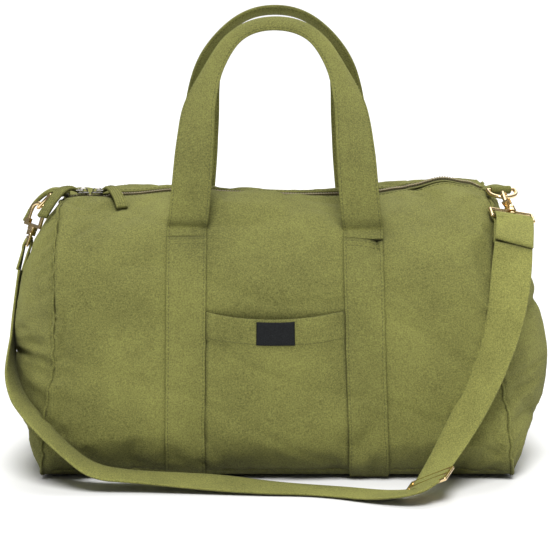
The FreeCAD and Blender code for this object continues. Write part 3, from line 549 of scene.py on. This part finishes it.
def surface(x, j):
    """Point and normal of the canvas at lengthwise position x (mm) and fractional round index j."""
    j0 = int(math.floor(j)) % ROUND
    j1, tj = (j0 + 1) % ROUND, j - math.floor(j)
    rows = CANVAS_GRID[END_RINGS:END_RINGS + RUN + 1]
    column = rows[:, j0, 0]
    i = float(np.clip(np.searchsorted(column, x) - 1, 0, RUN - 1))
    i0 = int(i)
    ti = float(np.clip((x - column[i0]) / max(column[i0 + 1] - column[i0], 1e-6), 0, 1))
    normals = CANVAS_NORMALS[END_RINGS:END_RINGS + RUN + 1]

    def mix(field):
        low = field[i0, j0] * (1 - ti) + field[i0 + 1, j0] * ti
        high = field[i0, j1] * (1 - ti) + field[i0 + 1, j1] * ti
        return low * (1 - tj) + high * tj

    return mix(rows), normalised(mix(normals))


def index_at(y, z):
    """The round index whose plain section point is nearest (y, z)."""
    gap = (LOOP[:, 0] - y) ** 2 + (LOOP[:, 1] - z) ** 2
    return int(np.argmin(gap))


def front_index(z):
    """Fractional round index on the front at this height."""
    front = [(LOOP[j, 1], j) for j in range(ZIP_START // 2) if LOOP[j, 0] < -60]
    heights = np.array([h for h, _ in front])[::-1]
    indices = np.array([j for _, j in front], float)[::-1]
    return float(np.interp(z, heights, indices))


CLOTH = 2.0


def thicken(piece, thickness):
    """Gives an open surface its cloth's thickness (mm), inward."""
    thick = piece.modifiers.new("thickness", "SOLIDIFY")
    thick.thickness = thickness * MM
    thick.offset = -1.0
    thick.use_even_offset = False


def canvas_panel(name, node_name, first, last):
    """One panel of the canvas grid between two round indices, with its thickness."""
    columns = range(first, last + 1)
    verts = [CANVAS_GRID[i, j % ROUND] * MM for i in MAIN_ROWS for j in columns]
    faces = row_faces(len(MAIN_ROWS), len(columns), closed=False)
    thicken(add_piece(name, verts, faces, CANVAS, replaced=[node_name]), CLOTH)


def end_panel(name, node_name, side):
    """A closed domed end: the grid's end rings with a small middle face."""
    if side < 0:
        lines = list(range(END_RINGS, -1, -1))
    else:
        lines = list(range(END_RINGS + RUN, END_RINGS * 2 + RUN + 1))
    verts = [CANVAS_GRID[i, j] * MM for i in lines for j in range(ROUND)]
    faces = row_faces(len(lines), ROUND)
    centre, last = len(verts), len(verts) - ROUND
    verts.append(CANVAS_GRID[lines[-1]].mean(axis=0) * MM)
    faces += [(last + j, last + (j + 1) % ROUND, centre) for j in range(ROUND)]
    if side < 0:
        faces = [face[::-1] for face in faces]
    thicken(add_piece(name, verts, faces, CANVAS, replaced=[node_name]), CLOTH)


MAIN_ROWS = range(END_RINGS, END_RINGS + RUN + 1)
LOW_FRONT = index_at(-107.0, 9.0)
LOW_BACK = index_at(111.0, 9.0)
canvas_panel("canvas_front", "front_panel", 0, LOW_FRONT)
canvas_panel("canvas_bottom", "bottom_panel", LOW_FRONT, LOW_BACK)
canvas_panel("canvas_back", "back_panel", LOW_BACK, ZIP_START)
end_panel("canvas_end_left", "left_end_panel", -1)
end_panel("canvas_end_right", "right_end_panel", 1)


# ---- straps sewn to the canvas

STRAP_HALF = 19.0
STRAP_WIDTH = 2 * STRAP_HALF
# Share of a strap's half width at which its edge stitches run.
EDGE_STITCH = 0.87
# How far a sewn strap's middle and its stitches stand off the canvas (mm).
STRAP_OUT, STITCH_OUT = 1.45, 2.75
STITCH_Z = 228.5
TOP_INDEX = front_index(STITCH_Z)


def lifted(x, j, out):
    """A point this far (mm) off the canvas, in metres."""
    point, normal = surface(x, j)
    return (point + normal * out) * MM


def run_x(side, j):
    """Middle of a sewn strap at this round index: the straps drift a little apart low on the front."""
    drop = float(smoothstep(j, TOP_INDEX, ZIP_START * 0.5))
    drop *= 1.0 - float(smoothstep(j, ZIP_START * 0.5, ZIP_START * 0.7))
    return side * (83.6 + (3.0 if side < 0 else 9.0) * drop)


def strap_run(label, side):
    stations, rows = [], np.arange(TOP_INDEX, ZIP_START - TOP_INDEX, 1.0)
    for j in rows:
        stations.append(lambda share, height, j=j:
                        lifted(run_x(side, j) + share * STRAP_HALF, j, STRAP_OUT + height))
    sweep(label + "_strap_sewn", stations, STRAP_WIDTH, 2.4, STRAP,
          replaced=[label + "_strap_run"])
    marks = []
    for share in (-EDGE_STITCH, EDGE_STITCH):
        points = [lifted(run_x(side, j) + share * STRAP_HALF, j, STITCH_OUT) for j in rows]
        normals = [surface(run_x(side, j), j)[1] for j in rows]
        marks += marks_along(points, normals)
    end = ZIP_START - TOP_INDEX
    for j in (TOP_INDEX + 0.7, TOP_INDEX + 1.9, end - 0.8, end - 2.0):
        shares = np.linspace(-EDGE_STITCH, EDGE_STITCH, 9)
        points = [lifted(run_x(side, j) + share * STRAP_HALF, j, STITCH_OUT) for share in shares]
        normals = [surface(run_x(side, j), j)[1] for share in shares]
        marks += marks_along(points, normals)
    stitch_mesh(label + "_strap_stitches", marks)


strap_run("left", -1)
strap_run("right", 1)

# Half of the front handle above the canvas, in mm: point, sideways direction.
HANDLE_HALF = [
    ((81.5, -103.0, 256.0), (1.0, 0.0, 0.0)),
    ((78.5, -103.5, 288.0), (0.99, 0.1, 0.0)),
    ((76.0, -95.0, 322.0), (0.95, 0.3, 0.0)),
    ((72.0, -76.0, 358.0), (0.75, 0.65, 0.1)),
    ((62.0, -54.0, 392.0), (0.4, 0.9, 0.15)),
    ((42.0, -37.0, 420.0), (0.1, 0.98, 0.1)),
    ((16.0, -30.0, 433.5), (0.0, 1.0, 0.1)),
]
BACK_RISE = 9.0


def curled_station(point, side, normal, curl):
    """A handle's section, its edges curled down by this many radians."""
    radius = STRAP_HALF / (curl if abs(curl) > 0.02 else 0.02)

    def at(share, height):
        turn = share * STRAP_HALF / radius
        rise = radius * (math.cos(turn) - 1.0) + 0.175 * STRAP_HALF * abs(STRAP_HALF / radius)
        return (point + side * (radius * math.sin(turn)) + normal * rise
                + (side * math.sin(turn) + normal * math.cos(turn)) * height) * MM
    return at


def handle(label, front):
    """One arch of strap, continuing the two sewn runs and twisting edge-on at the crown."""
    halves = []
    for side in (-1, 1):
        j = TOP_INDEX if front else ZIP_START - TOP_INDEX
        step = -1 if front else 1
        x = run_x(side, j)
        root, normal = surface(x, j)
        ahead = normalised(surface(x, j + step)[0] - root)
        root = root + normal * STRAP_OUT
        points = [root, root + ahead * 11 + normal * 0.6]
        sides = [np.array((-side * 1.0, 0.0, 0.0))] * 2
        for index, ((px, py, pz), (a, b, c)) in enumerate(HANDLE_HALF):
            rise = 0.0 if front else BACK_RISE * min((index + 1) / 4.0, 1.0)
            py, b = (py, b) if front else (2 * MID_Y - py, -b)
            points.append(np.array((side * px, py, pz + rise)))
            # the width turns half a turn in all, so it runs on through the crown without a flip
            sides.append(np.array((-side * a, -b, -c)))
        halves.append((points, sides))
    (left_points, left_sides), (right_points, right_sides) = halves
    points = catmull(left_points + right_points[::-1], 7)
    sides = catmull(left_sides + right_sides[::-1], 7)
    frames = path_frames(points, sides)
    stations = []
    for index, (point, (_, side, normal)) in enumerate(zip(points, frames)):
        soft = 0.05 * math.sin(index * 0.31 + (0.0 if front else 2.0))
        curl = soft + (1.25 if front else 0.7) * float(smoothstep(point[2], 352.0, 424.0))
        stations.append(curled_station(point, side, normal, curl))
    name = label + "_handle"
    strap = sweep(label + "_handle_strap", stations, STRAP_WIDTH, 3.0, STRAP, body=None,
                  replaced=[name])
    marks = []
    for share in (-EDGE_STITCH, EDGE_STITCH):
        for face in (-1.0, 1.0):
            line = [station(share, face * 1.6) for station in stations]
            out = [normalised(station(share, face * 2.6) - p) for station, p in zip(stations, line)]
            marks += marks_along(line, out)
    thread = stitch_mesh(label + "_handle_stitches", marks, body=None)
    for thing in (strap, thread):
        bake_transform(thing)


handle("front", True)
handle("back", False)


# ---- patch pocket and label

MOUTH_Z = 163.5
LABEL_HALF, POCKET_HALF = 17.8, 63.6
POCKET_BASE = float(LOW_FRONT)
MOUTH_INDEX = front_index(MOUTH_Z)


def pocket_edge(side, j):
    return run_x(side, j) - side * (STRAP_HALF + 0.3)


def mouth_dip(u):
    """How far the pocket's mouth hangs below its corners at u, which runs from -1 to 1 across."""
    return (1.0 - u * u) * 4.5


def pocket_point(u, depth, extra=0.0):
    """Point and normal of the pocket: u across from -1 to 1, depth (mm) below its mouth."""
    mouth = MOUTH_INDEX + mouth_dip(u) / GRID_STEP
    j = mouth + depth / GRID_STEP
    down = (j - mouth) / (POCKET_BASE - mouth)
    x = pocket_edge(-1, j) + (pocket_edge(1, j) - pocket_edge(-1, j)) * (u + 1) / 2
    belly = (1.0 - abs(u) ** 2.6) * (1.8 + 6.0 * (1.0 - float(smoothstep(down, 0.0, 0.5))))
    belly *= 1.0 - float(smoothstep(down, 0.7, 1.0))
    soft = 1.1 * wobble(x, depth, 0.0, 34.0, 21.0) * (1.0 - abs(u) ** 4)
    point, normal = surface(x, j)
    return (point + normal * (2.2 + belly + soft * (1 - down) + extra)) * MM, normal


def patch_pocket():
    hem, columns = 27.0, 32
    full = (POCKET_BASE - MOUTH_INDEX) * GRID_STEP
    rows = [(depth, -2.6) for depth in (hem, 18.0, 9.0, 2.0)] + [(0.0, -1.3)]
    rows += [(0.7, 0.0), (3.0, 0.35), (9.0, 0.3), (17.0, 0.3), (hem - 1.2, 0.35), (hem + 0.6, -0.5)]
    rows += [(depth, -0.5) for depth in np.linspace(hem + 6.0, full - 6.0, 30)]
    verts = []
    for depth, extra in rows:
        for column in range(columns + 1):
            u = -1 + 2 * column / columns
            verts.append(pocket_point(u, min(depth, full - mouth_dip(u)), extra)[0])
    faces = row_faces(len(rows), columns + 1, closed=False, turned=True)
    cloth = add_piece("pocket_canvas", verts, faces, CANVAS, replaced=["front_pocket"])
    thicken(cloth, 1.1)
    across = np.linspace(-0.985, 0.985, 40)
    line = [pocket_point(u, hem - 2.4, 0.5) for u in across]
    stitch_mesh("pocket_stitches", marks_along([p for p, _ in line], [n for _, n in line], 3.6))


def woven_label():
    """A plain label with a folded, slightly raised edge."""
    columns, rows = 18, 12
    verts = []
    for row in range(rows + 1):
        for column in range(columns + 1):
            u = LABEL_HALF * (2 * column / columns - 1) / POCKET_HALF
            depth = 2.5 + 23.0 * row / rows
            border = column in (0, columns) or row in (0, rows)
            verts.append(pocket_point(u, depth, 0.9 if border else 1.25)[0])
    faces = row_faces(rows + 1, columns + 1, closed=False, turned=True)
    thicken(add_piece("plain_label", verts, faces, LABEL, replaced=["woven_label"]), 0.7)


patch_pocket()
woven_label()


# ---- zip

ZIP_MIDDLE = ZIP_START + 3
# A tape's middle and half width from the zip's middle; below the canvas's top: tapes, teeth (mm).
TAPE_MIDDLE, TAPE_HALF = 7.4, 6.2
TAPE_DROP, TEETH_DROP, TOOTH_PITCH = 2.3, 1.5, 2.5
SLIDER_TOP, SLIDER_LOW = 265.4, 259.4


def zip_z(x):
    return float(surface(x, ZIP_MIDDLE)[0][2])


def zip_tapes():
    for label, sign in (("front", -1), ("back", 1)):
        stations = []
        for x in np.arange(-208.0, 208.1, 4.0):
            stations.append(lambda share, height, x=x: np.array((
                x, MID_Y + sign * (TAPE_MIDDLE + share * TAPE_HALF),
                zip_z(x) - TAPE_DROP + height)) * MM)
        sweep("zip_tape_" + label, stations, 2 * TAPE_HALF, 1.0, TAPE,
              replaced=[label + "_zip_tape"], across=4)


# A tooth's four sections from its tip outward: distance from the middle, half width, bottom, top.
TOOTH = [(-0.5, 0.45, 0.5, 1.7), (1.0, 0.62, 0.1, 2.1), (3.4, 0.8, 0.0, 2.4), (4.3, 0.7, 0.0, 1.9)]


def zip_teeth():
    """Two rows of separate moulded teeth that mesh along the middle."""
    for label, sign, shift in (("front", -1, 0.0), ("back", 1, TOOTH_PITCH / 2)):
        verts, faces = [], []
        for x in np.arange(-203.0 + shift, 203.0, TOOTH_PITCH):
            base, z = len(verts), zip_z(x) - TEETH_DROP
            for y_off, half_x, low, high in TOOTH:
                for dx, dz in ((-half_x, low), (half_x, low), (half_x, high), (-half_x, high)):
                    verts.append(np.array((x + dx, MID_Y + sign * y_off, z + dz)) * MM)
            tooth = row_faces(len(TOOTH), 4, base, capped=True)
            faces += tooth if sign > 0 else [face[::-1] for face in tooth]
        add_piece("zip_teeth_" + label, verts, faces, ZIP_METAL,
                  replaced=[label + "_zip_teeth"], smooth=False)


def zip_edge_stitches():
    marks = []
    for j in (1.1, ZIP_START - 1.1):
        xs = np.arange(-205.0, 205.1, 5.0)
        marks += marks_along([lifted(x, j, 0.25) for x in xs], [surface(x, j)[1] for x in xs])
    stitch_mesh("zip_edge_stitches", marks)


SLIDER_OUTLINE = [(-6.0, -2.0), (-4.6, -3.9), (0.5, -4.5), (4.6, -3.5), (6.0, -1.4),
                  (6.0, 1.4), (4.6, 3.5), (0.5, 4.5), (-4.6, 3.9), (-6.0, 2.0)]


def zip_slider(label, x, body):
    """Upper and lower plates joined by a nose, with a bridge that holds the pull's link."""
    verts, faces = [], []
    top = SLIDER_TOP
    for low, scale in ((SLIDER_TOP, 1.0), (SLIDER_LOW, 0.96)):
        high = low + 1.5
        base, count = len(verts), len(SLIDER_OUTLINE)
        for z, inset in ((low, 0.93), (low + 0.35, 1.0), (high - 0.45, 1.0), (high, 0.86)):
            verts += [np.array((x + px * scale * inset, MID_Y + py * scale * inset, z)) * MM
                      for px, py in SLIDER_OUTLINE]
        faces += row_faces(4, count, base, capped=True)
    arch = catmull([(-4.4, top + 1.0), (-3.9, top + 3.6), (-1.8, top + 5.2),
                    (1.8, top + 5.2), (3.9, top + 3.6), (4.4, top + 1.0)], 4)
    profile = [(-1.5, -0.3), (-1.1, 0.55), (1.1, 0.55), (1.5, -0.3), (1.1, -0.55), (-1.1, -0.55)]
    base = len(verts)
    for index, (px, pz) in enumerate(arch):
        ahead = np.array(arch[min(index + 1, len(arch) - 1)]) - np.array(arch[max(index - 1, 0)])
        ahead = ahead / np.linalg.norm(ahead)
        for across, up in profile:
            verts.append(np.array((x + px - ahead[1] * up, MID_Y + across, pz + ahead[0] * up)) * MM)
    faces += row_faces(len(arch), len(profile), base, turned=True, capped=True)
    nose, count = len(verts), 8
    for z in (260.2, top + 0.6):
        for k in range(count):
            angle = 2 * math.pi * k / count
            verts.append(np.array((x + 3.6 + 1.6 * math.cos(angle),
                                   MID_Y + 0.32 * math.sin(angle), z)) * MM)
    faces += row_faces(2, count, nose)
    add_piece("slider_" + label, verts, faces, GUNMETAL, body=body, replaced=[body],
              smooth=False)


# Each pull's folded canvas strip from its link over the front: point, sideways direction.
PULLS = {
    "left": [((-198.6, 2.2, 269.6), (0, 1, 0)), ((-203.5, -5.0, 271.2), (-0.75, 0.65, 0.0)),
             ((-209.5, -22.0, 270.4), (-0.95, 0.3, 0.0)), ((-217.0, -38.0, 262.0), (-0.86, 0.5, 0.0)),
             ((-225.5, -52.0, 248.5), (-0.8, 0.55, 0.2))],
    "right": [((-167.4, 2.2, 269.6), (0, 1, 0)), ((-163.0, -5.0, 271.4), (0.6, 0.8, 0.0)),
              ((-158.0, -21.0, 271.0), (0.92, 0.38, 0.0)), ((-152.0, -39.0, 265.0), (0.9, 0.4, 0.1)),
              ((-148.0, -52.0, 257.0), (0.9, 0.4, 0.1))],
}


def swept_strip(name, route, width, thick, material, body=ROOT, replaced=(), rows=(), lines=()):
    """A short strip along a smooth route; rows of stitches cross it, lines of them run along it."""
    points = catmull([p for p, _ in route], 6)
    sides = catmull([s for _, s in route], 6)
    frames = path_frames(points, sides)
    stations = [(lambda share, height, p=p, s=s, n=n:
                 (p + s * (share * width / 2) + n * height) * MM)
                for p, (_, s, n) in zip(points, frames)]
    piece = sweep(name, stations, width, thick, material, body=body, replaced=replaced, across=6)
    marks = []
    for row in rows:
        index = min(int(row * (len(stations) - 1)), len(stations) - 1)
        for face in (-1.0, 1.0):
            shares = np.linspace(-0.8, 0.8, 6)
            line = [stations[index](share, face * (thick / 2 + 0.1)) for share in shares]
            marks += marks_along(line, [frames[index][2] * face] * 6, 2.6)
    for share in lines:
        for face in (-1.0, 1.0):
            line = [station(share, face * (thick / 2 + 0.1)) for station in stations]
            marks += marks_along(line, [n * face for _, _, n in frames], 2.6)
    if marks:
        stitch_mesh(name + "_stitches", marks, body=body, size=(1.0, 0.35, 0.28))
    return piece


zip_tapes()
zip_teeth()
zip_edge_stitches()
zip_slider("left", -190.0, "left_slider")
zip_slider("right", -176.0, "right_slider")
for pull_side in ("left", "right"):
    swept_strip("pull_strip_" + pull_side, PULLS[pull_side], 11.0, 4.0, CANVAS,
                body=pull_side + "_pull", replaced=[pull_side + "_pull_strip"], rows=(0.94,),
                lines=(-0.66, -0.22, 0.22, 0.66))


# ---- end tabs, ring tabs

def end_tab(name, route, node):
    swept_strip(name, [(point, (0, 1, 0)) for point in route], 16.0, 4.4, CANVAS,
                replaced=[node], rows=(0.12, 0.88))


end_tab("end_tab_left", [(-205.0, 17.5, 264.8), (-222.0, 18.0, 266.8), (-238.0, 18.5, 255.5),
                         (-249.5, 18.5, 236.5)], "left_zip_end_tab")
end_tab("end_tab_right", [(205.0, 13.5, 267.0), (219.0, 14.0, 270.5), (232.0, 14.0, 268.0)],
        "right_zip_end_tab")


def wrap_route(centre, toward, axis, radius, gap, end_side=None):
    """A strip that comes from one side, turns round a bar and goes back beside itself."""
    reach = float(np.linalg.norm(toward))
    d, a = normalised(toward), normalised(axis)
    d = normalised(d - a * float(np.dot(d, a)))
    n = np.cross(a, d)
    c = np.array(centre, float)
    neck, tight = d * (radius + 5.0), n * (gap + 0.5)
    route = [c + d * reach + n * gap, c + neck + tight, c + d * 1.5 + n * radius]
    for angle in (45, 90, 135):
        t = math.radians(angle)
        route.append(c + n * (radius * math.cos(t)) - d * (radius * math.sin(t)))
    route += [c + d * 1.5 - n * radius, c + neck - tight, c + d * reach - n * gap]
    sides = [a] * len(route)
    if end_side is not None:
        # both ends lie on the strap itself, turned as it is
        b = normalised(end_side)
        b = b if float(np.dot(a, b)) > 0 else -b
        across = normalised(np.cross(b, toward))
        across = across if float(np.dot(across, n)) > 0 else -across
        end = c + toward
        route[0], route[-1] = end + across * gap * 1.15, end - across * gap * 1.15
        sides[0] = sides[-1] = b
    return list(zip(route, sides))


RINGS = {
    "left": ((-220.5, -6.0, 265.0), (0.0, 0.9975, -0.0702), (-207.0, -6.0, 265.6)),
    "right": ((220.3, -30.2, 272.3), (0.98, 0.199, 0.0), (211.5, -12.0, 267.0)),
}
for ring_side, (ring_bar, ring_axis, ring_root) in RINGS.items():
    toward_root = np.array(ring_root) - np.array(ring_bar)
    wrapped = wrap_route(ring_bar, toward_root, ring_axis, 3.0, 1.2)
    swept_strip("ring_tab_" + ring_side + "_canvas", wrapped, 20.0, 2.0, CANVAS,
                replaced=[ring_side + "_ring_tab"], rows=(0.14,))


# ---- shoulder strap

# Route of the webbing from the left hook to the right one: its middle and the direction across it.
STRAP_ROUTE = [
    ((-251.2, -12.6, 190.0), (0.0, 1.0, 0.0)),
    ((-254.8, -18.0, 162.0), (0.0, 1.0, 0.0)),
    ((-257.0, -31.0, 133.0), (0.0, 1.0, 0.0)),
    ((-256.0, -56.0, 106.0), (0.0, 1.0, 0.05)),
    ((-246.0, -94.0, 83.0), (0.1, 1.0, 0.1)),
    ((-224.0, -140.0, 62.0), (0.1, 1.0, 0.1)),
    ((-198.0, -148.0, 39.0), (0.0, 1.0, 0.15)),
    ((-172.0, -150.0, 18.0), (0.0, 1.0, 0.15)),
    ((-136.0, -148.0, 13.0), (0.0, 1.0, 0.06)),
    ((-94.0, -150.0, 10.0), (0.0, 0.99, 0.12)),
    ((-50.0, -153.0, 7.5), (0.0, 0.98, 0.18)),
    ((-8.0, -157.0, 4.6), (0.0, 0.99, 0.08)),
    ((30.0, -158.0, 3.0), (0.0, 1.0, 0.0)),
    ((64.0, -169.0, 3.0), (0.3, 0.95, 0.0)),
    ((92.0, -187.0, 4.0), (0.45, 0.89, 0.0)),
    ((114.0, -200.0, 7.5), (0.3, 0.94, -0.05)),
    ((130.0, -206.0, 12.5), (-0.3, 0.93, -0.2)),
    ((137.5, -200.0, 16.0), (-0.62, 0.68, -0.36)),
    ((142.0, -191.0, 18.5), (-0.8, 0.42, -0.43)),
    ((148.6, -174.0, 23.0), (-0.76, 0.53, -0.38)),
    ((160.0, -157.0, 36.0), (-0.66, 0.7, -0.2)),
    ((174.0, -146.0, 58.0), (-0.62, 0.76, 0.1)),
    ((190.0, -140.0, 88.0), (-0.66, 0.7, 0.24)),
    ((206.0, -139.0, 126.0), (-0.74, 0.64, 0.2)),
    ((217.0, -136.0, 164.0), (-0.86, 0.45, 0.1)),
    ((222.0, -127.0, 198.0), (-0.97, 0.15, 0.05)),
    ((225.5, -110.5, 228.0), (-0.96, -0.2, 0.15)),
]


def nurbs_line(points):
    """Points (m) along the smooth curve whose control points (mm) these are."""
    data = bpy.data.curves.new("route", "CURVE")
    data.dimensions = "3D"
    spline = data.splines.new("NURBS")
    spline.points.add(len(points) - 1)
    for control, point in zip(spline.points, points):
        control.co = (*(point * MM), 1.0)
    spline.order_u = 3
    spline.use_endpoint_u = True
    spline.resolution_u = 10
    thing = new_object("route", data)
    bpy.context.view_layer.update()
    mesh = bpy.data.meshes.new_from_object(thing)
    line = [np.array(v.co, float) for v in mesh.vertices]
    bpy.data.objects.remove(thing, do_unlink=True)
    bpy.data.meshes.remove(mesh)
    return line


def shoulder_strap():
    centres = [np.array(p, float) for p, _ in STRAP_ROUTE]
    edges = [c + normalised(s) * STRAP_HALF for c, (_, s) in zip(centres, STRAP_ROUTE)]
    line, edge = nurbs_line(centres), nurbs_line(edges)
    frames = path_frames(line, [normalised(e - c) for e, c in zip(edge, line)])
    stations = []
    for index, (point, (_, side, normal)) in enumerate(zip(line, frames)):
        cup = 0.7 * math.sin(index * 0.11 + 1.0)
        stations.append(lambda share, height, p=point, s=side, n=normal, c=cup:
                        p + (s * (share * STRAP_HALF) + n * (height + c * (share * share - 0.4))) * MM)
    strap = sweep("shoulder_webbing", stations, STRAP_WIDTH, 2.6, WEBBING,
                  replaced=["shoulder_strap", "shoulder_strap_upper"])
    return strap, line, stations, frames


WEB, WEB_LINE, WEB_STATIONS, WEB_FRAMES = shoulder_strap()

LOOPS = {
    "left": ((-244.17921, -8.75117, 217.03113), (-0.06051, 0.99761, -0.03340), *STRAP_ROUTE[0]),
    "right": ((227.77432, -79.52476, 249.89468), (0.96099, 0.21260, -0.17691), *STRAP_ROUTE[-1]),
}
# Where the webbing passes the tri-glide (mm), and the length that is sewn back beyond it (m).
GLIDE, RETURN_LENGTH = (142.0, -191.0, 18.5), 0.062
FOLDS = []
for loop_side, (loop_bar, loop_axis, strap_end, strap_side) in LOOPS.items():
    toward_strap = np.array(strap_end) - np.array(loop_bar)
    wrapped = wrap_route(loop_bar, toward_strap, loop_axis, 3.4, 2.3, strap_side)
    FOLDS.append(swept_strip("strap_fold_" + loop_side, wrapped, STRAP_WIDTH, 2.6, WEBBING,
                             replaced=[loop_side + "_strap_fold"], rows=(0.08, 0.2)))


def sewn_return():
    """The webbing's end, back through the glide and sewn to the strap above it; it lies flush."""
    glide = np.array(GLIDE) * MM
    first = int(np.argmin([float(np.linalg.norm(point - glide)) for point in WEB_LINE])) + 1
    last = first + 1
    while float(np.linalg.norm(WEB_LINE[last] - WEB_LINE[first])) < RETURN_LENGTH:
        last += 1
    front = -1.0 if WEB_FRAMES[last][2][1] > 0 else 1.0
    lift = 2.9 * MM * front
    stations = [(lambda share, height, at=WEB_STATIONS[index]: at(share * 0.985, height + lift))
                for index in range(first, last + 1)]
    name = "strap_return"
    piece = sweep(name, stations, STRAP_WIDTH, 2.4, WEBBING)
    marks = []
    for back in (1, 3):
        station = WEB_STATIONS[last - back]
        normal = WEB_FRAMES[last - back][2] * front
        line = [station(share, lift + 1.35 * MM * front) for share in np.linspace(-0.85, 0.85, 10)]
        marks += marks_along(line, [normal] * 10, 3.0)
    return piece, stitch_mesh(name + "_stitches", marks)


with_strap = ["tri_glide"] + [part.name for part in sewn_return()] + [fold.name for fold in FOLDS]
with_strap += [fold.name + "_stitches" for fold in FOLDS]


# ---- seams inside, metal fittings

def seam_binding(label, side):
    """The tape that binds an end seam inside the bag."""
    stations = []
    for j in np.arange(3.0, ZIP_START - 2.0, 1.0):
        def at(share, height, j=j):
            x = side * (SEAM - 9.0) + share * 7.5
            point, normal = surface(x, j)
            return (point - normal * (3.4 + height)) * MM
        stations.append(at)
    sweep(label + "_binding_tape", stations, 15.0, 1.2, LINING,
          replaced=[label + "_seam_binding"], across=3)


def end_seam(label, row):
    """The turned seam between the main canvas and an end: a thin ridge in a shallow valley."""
    stations = []
    for j in range(ROUND + 1):
        k = j % ROUND
        across = normalised(CANVAS_GRID[row + 1, k] - CANVAS_GRID[row - 1, k])
        # near the floor the ridge would otherwise stand through it
        lift = 0.5 if CANVAS_GRID[row, k][2] > 6.0 else -1.0
        point, normal = CANVAS_GRID[row, k], CANVAS_NORMALS[row, k]
        stations.append(lambda share, height, p=point, a=across, n=normal, up=lift:
                        (p + a * (share * 1.5) + n * (height + up)) * MM)
    sweep(label + "_end_seam", stations, 3.0, 2.2, CANVAS, across=2)


seam_binding("left", -1)
seam_binding("right", 1)
end_seam("left", END_RINGS)
end_seam("right", END_RINGS + RUN)
PAIRED_FITTINGS = ("d_ring", "hook_body", "hook_gate", "gate_pin", "strap_loop")
FINISHES = {"tri_glide": GOLD, "zip_stops": GUNMETAL}
for fitting_side in ("left_", "right_"):
    FINISHES.update({fitting_side + fitting: GOLD for fitting in PAIRED_FITTINGS})
    FINISHES[fitting_side + "pull_link"] = GUNMETAL
for node_name, finish in FINISHES.items():
    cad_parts[node_name].data.materials.clear()
    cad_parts[node_name].data.materials.append(finish)


# ---- light, floor, camera

# Strength of the backdrop as it is seen, and as it lights the bag.
BACKDROP, AMBIENT = 1.1, 0.19
CAMERA_PLACE, CAMERA_AIM, CAMERA_LENS = (0.0, -2.327, 0.511), Vector((0.0, 0.0, 0.184)), 154.7


def add_sun(name, toward, strength, spread):
    """A broad, even light from a direction; spread is its softness in degrees."""
    data = bpy.data.lights.new(name, "SUN")
    data.energy = strength
    data.angle = math.radians(spread)
    lamp = new_object(name, data)
    lamp.rotation_euler = Vector(toward).to_track_quat("Z", "Y").to_euler()


def build_stage():
    mesh = bpy.data.meshes.new("floor")
    mesh.from_pydata([(-6, -5, 0), (6, -5, 0), (6, 7, 0), (-6, 7, 0)], [], [(0, 1, 2, 3)])
    floor = new_object("floor", mesh)
    material = bpy.data.materials.new("floor_white")
    material.use_nodes = True
    preset(material.node_tree.nodes["Principled BSDF"], Base_Color=(0.93, 0.93, 0.93, 1), Roughness=0.9)
    mesh.materials.append(material)
    world = bpy.data.worlds.new("studio")
    world.use_nodes = True
    tree = world.node_tree
    # the backdrop is seen pure white, and lights the bag more gently than it looks
    seen = tree.nodes.new("ShaderNodeLightPath").outputs["Is Camera Ray"]
    strength = math_node(tree, "MULTIPLY_ADD", seen, BACKDROP - AMBIENT, AMBIENT)
    tree.links.new(strength, tree.nodes["Background"].inputs["Strength"])
    preset(tree.nodes["Background"], Color=(1.0, 1.0, 1.0, 1.0))
    bpy.context.scene.world = world
    add_sun("key", (-0.02, -1.0, 1.3), 3.25, 26.0)
    add_sun("overhead", (0.0, 0.25, 1.0), 0.9, 40.0)
    add_sun("back_fill", (0.4, 1.0, 1.0), 0.7, 40.0)
    data = bpy.data.cameras.new("camera")
    data.sensor_width = 36.0
    data.lens = CAMERA_LENS
    camera = new_object("camera", data)
    camera.location = CAMERA_PLACE
    aim = CAMERA_AIM - camera.location
    camera.rotation_euler = aim.to_track_quat("-Z", "Y").to_euler()
    bpy.context.scene.camera = camera
    bpy.context.scene.view_settings.view_transform = "Standard"


build_stage()
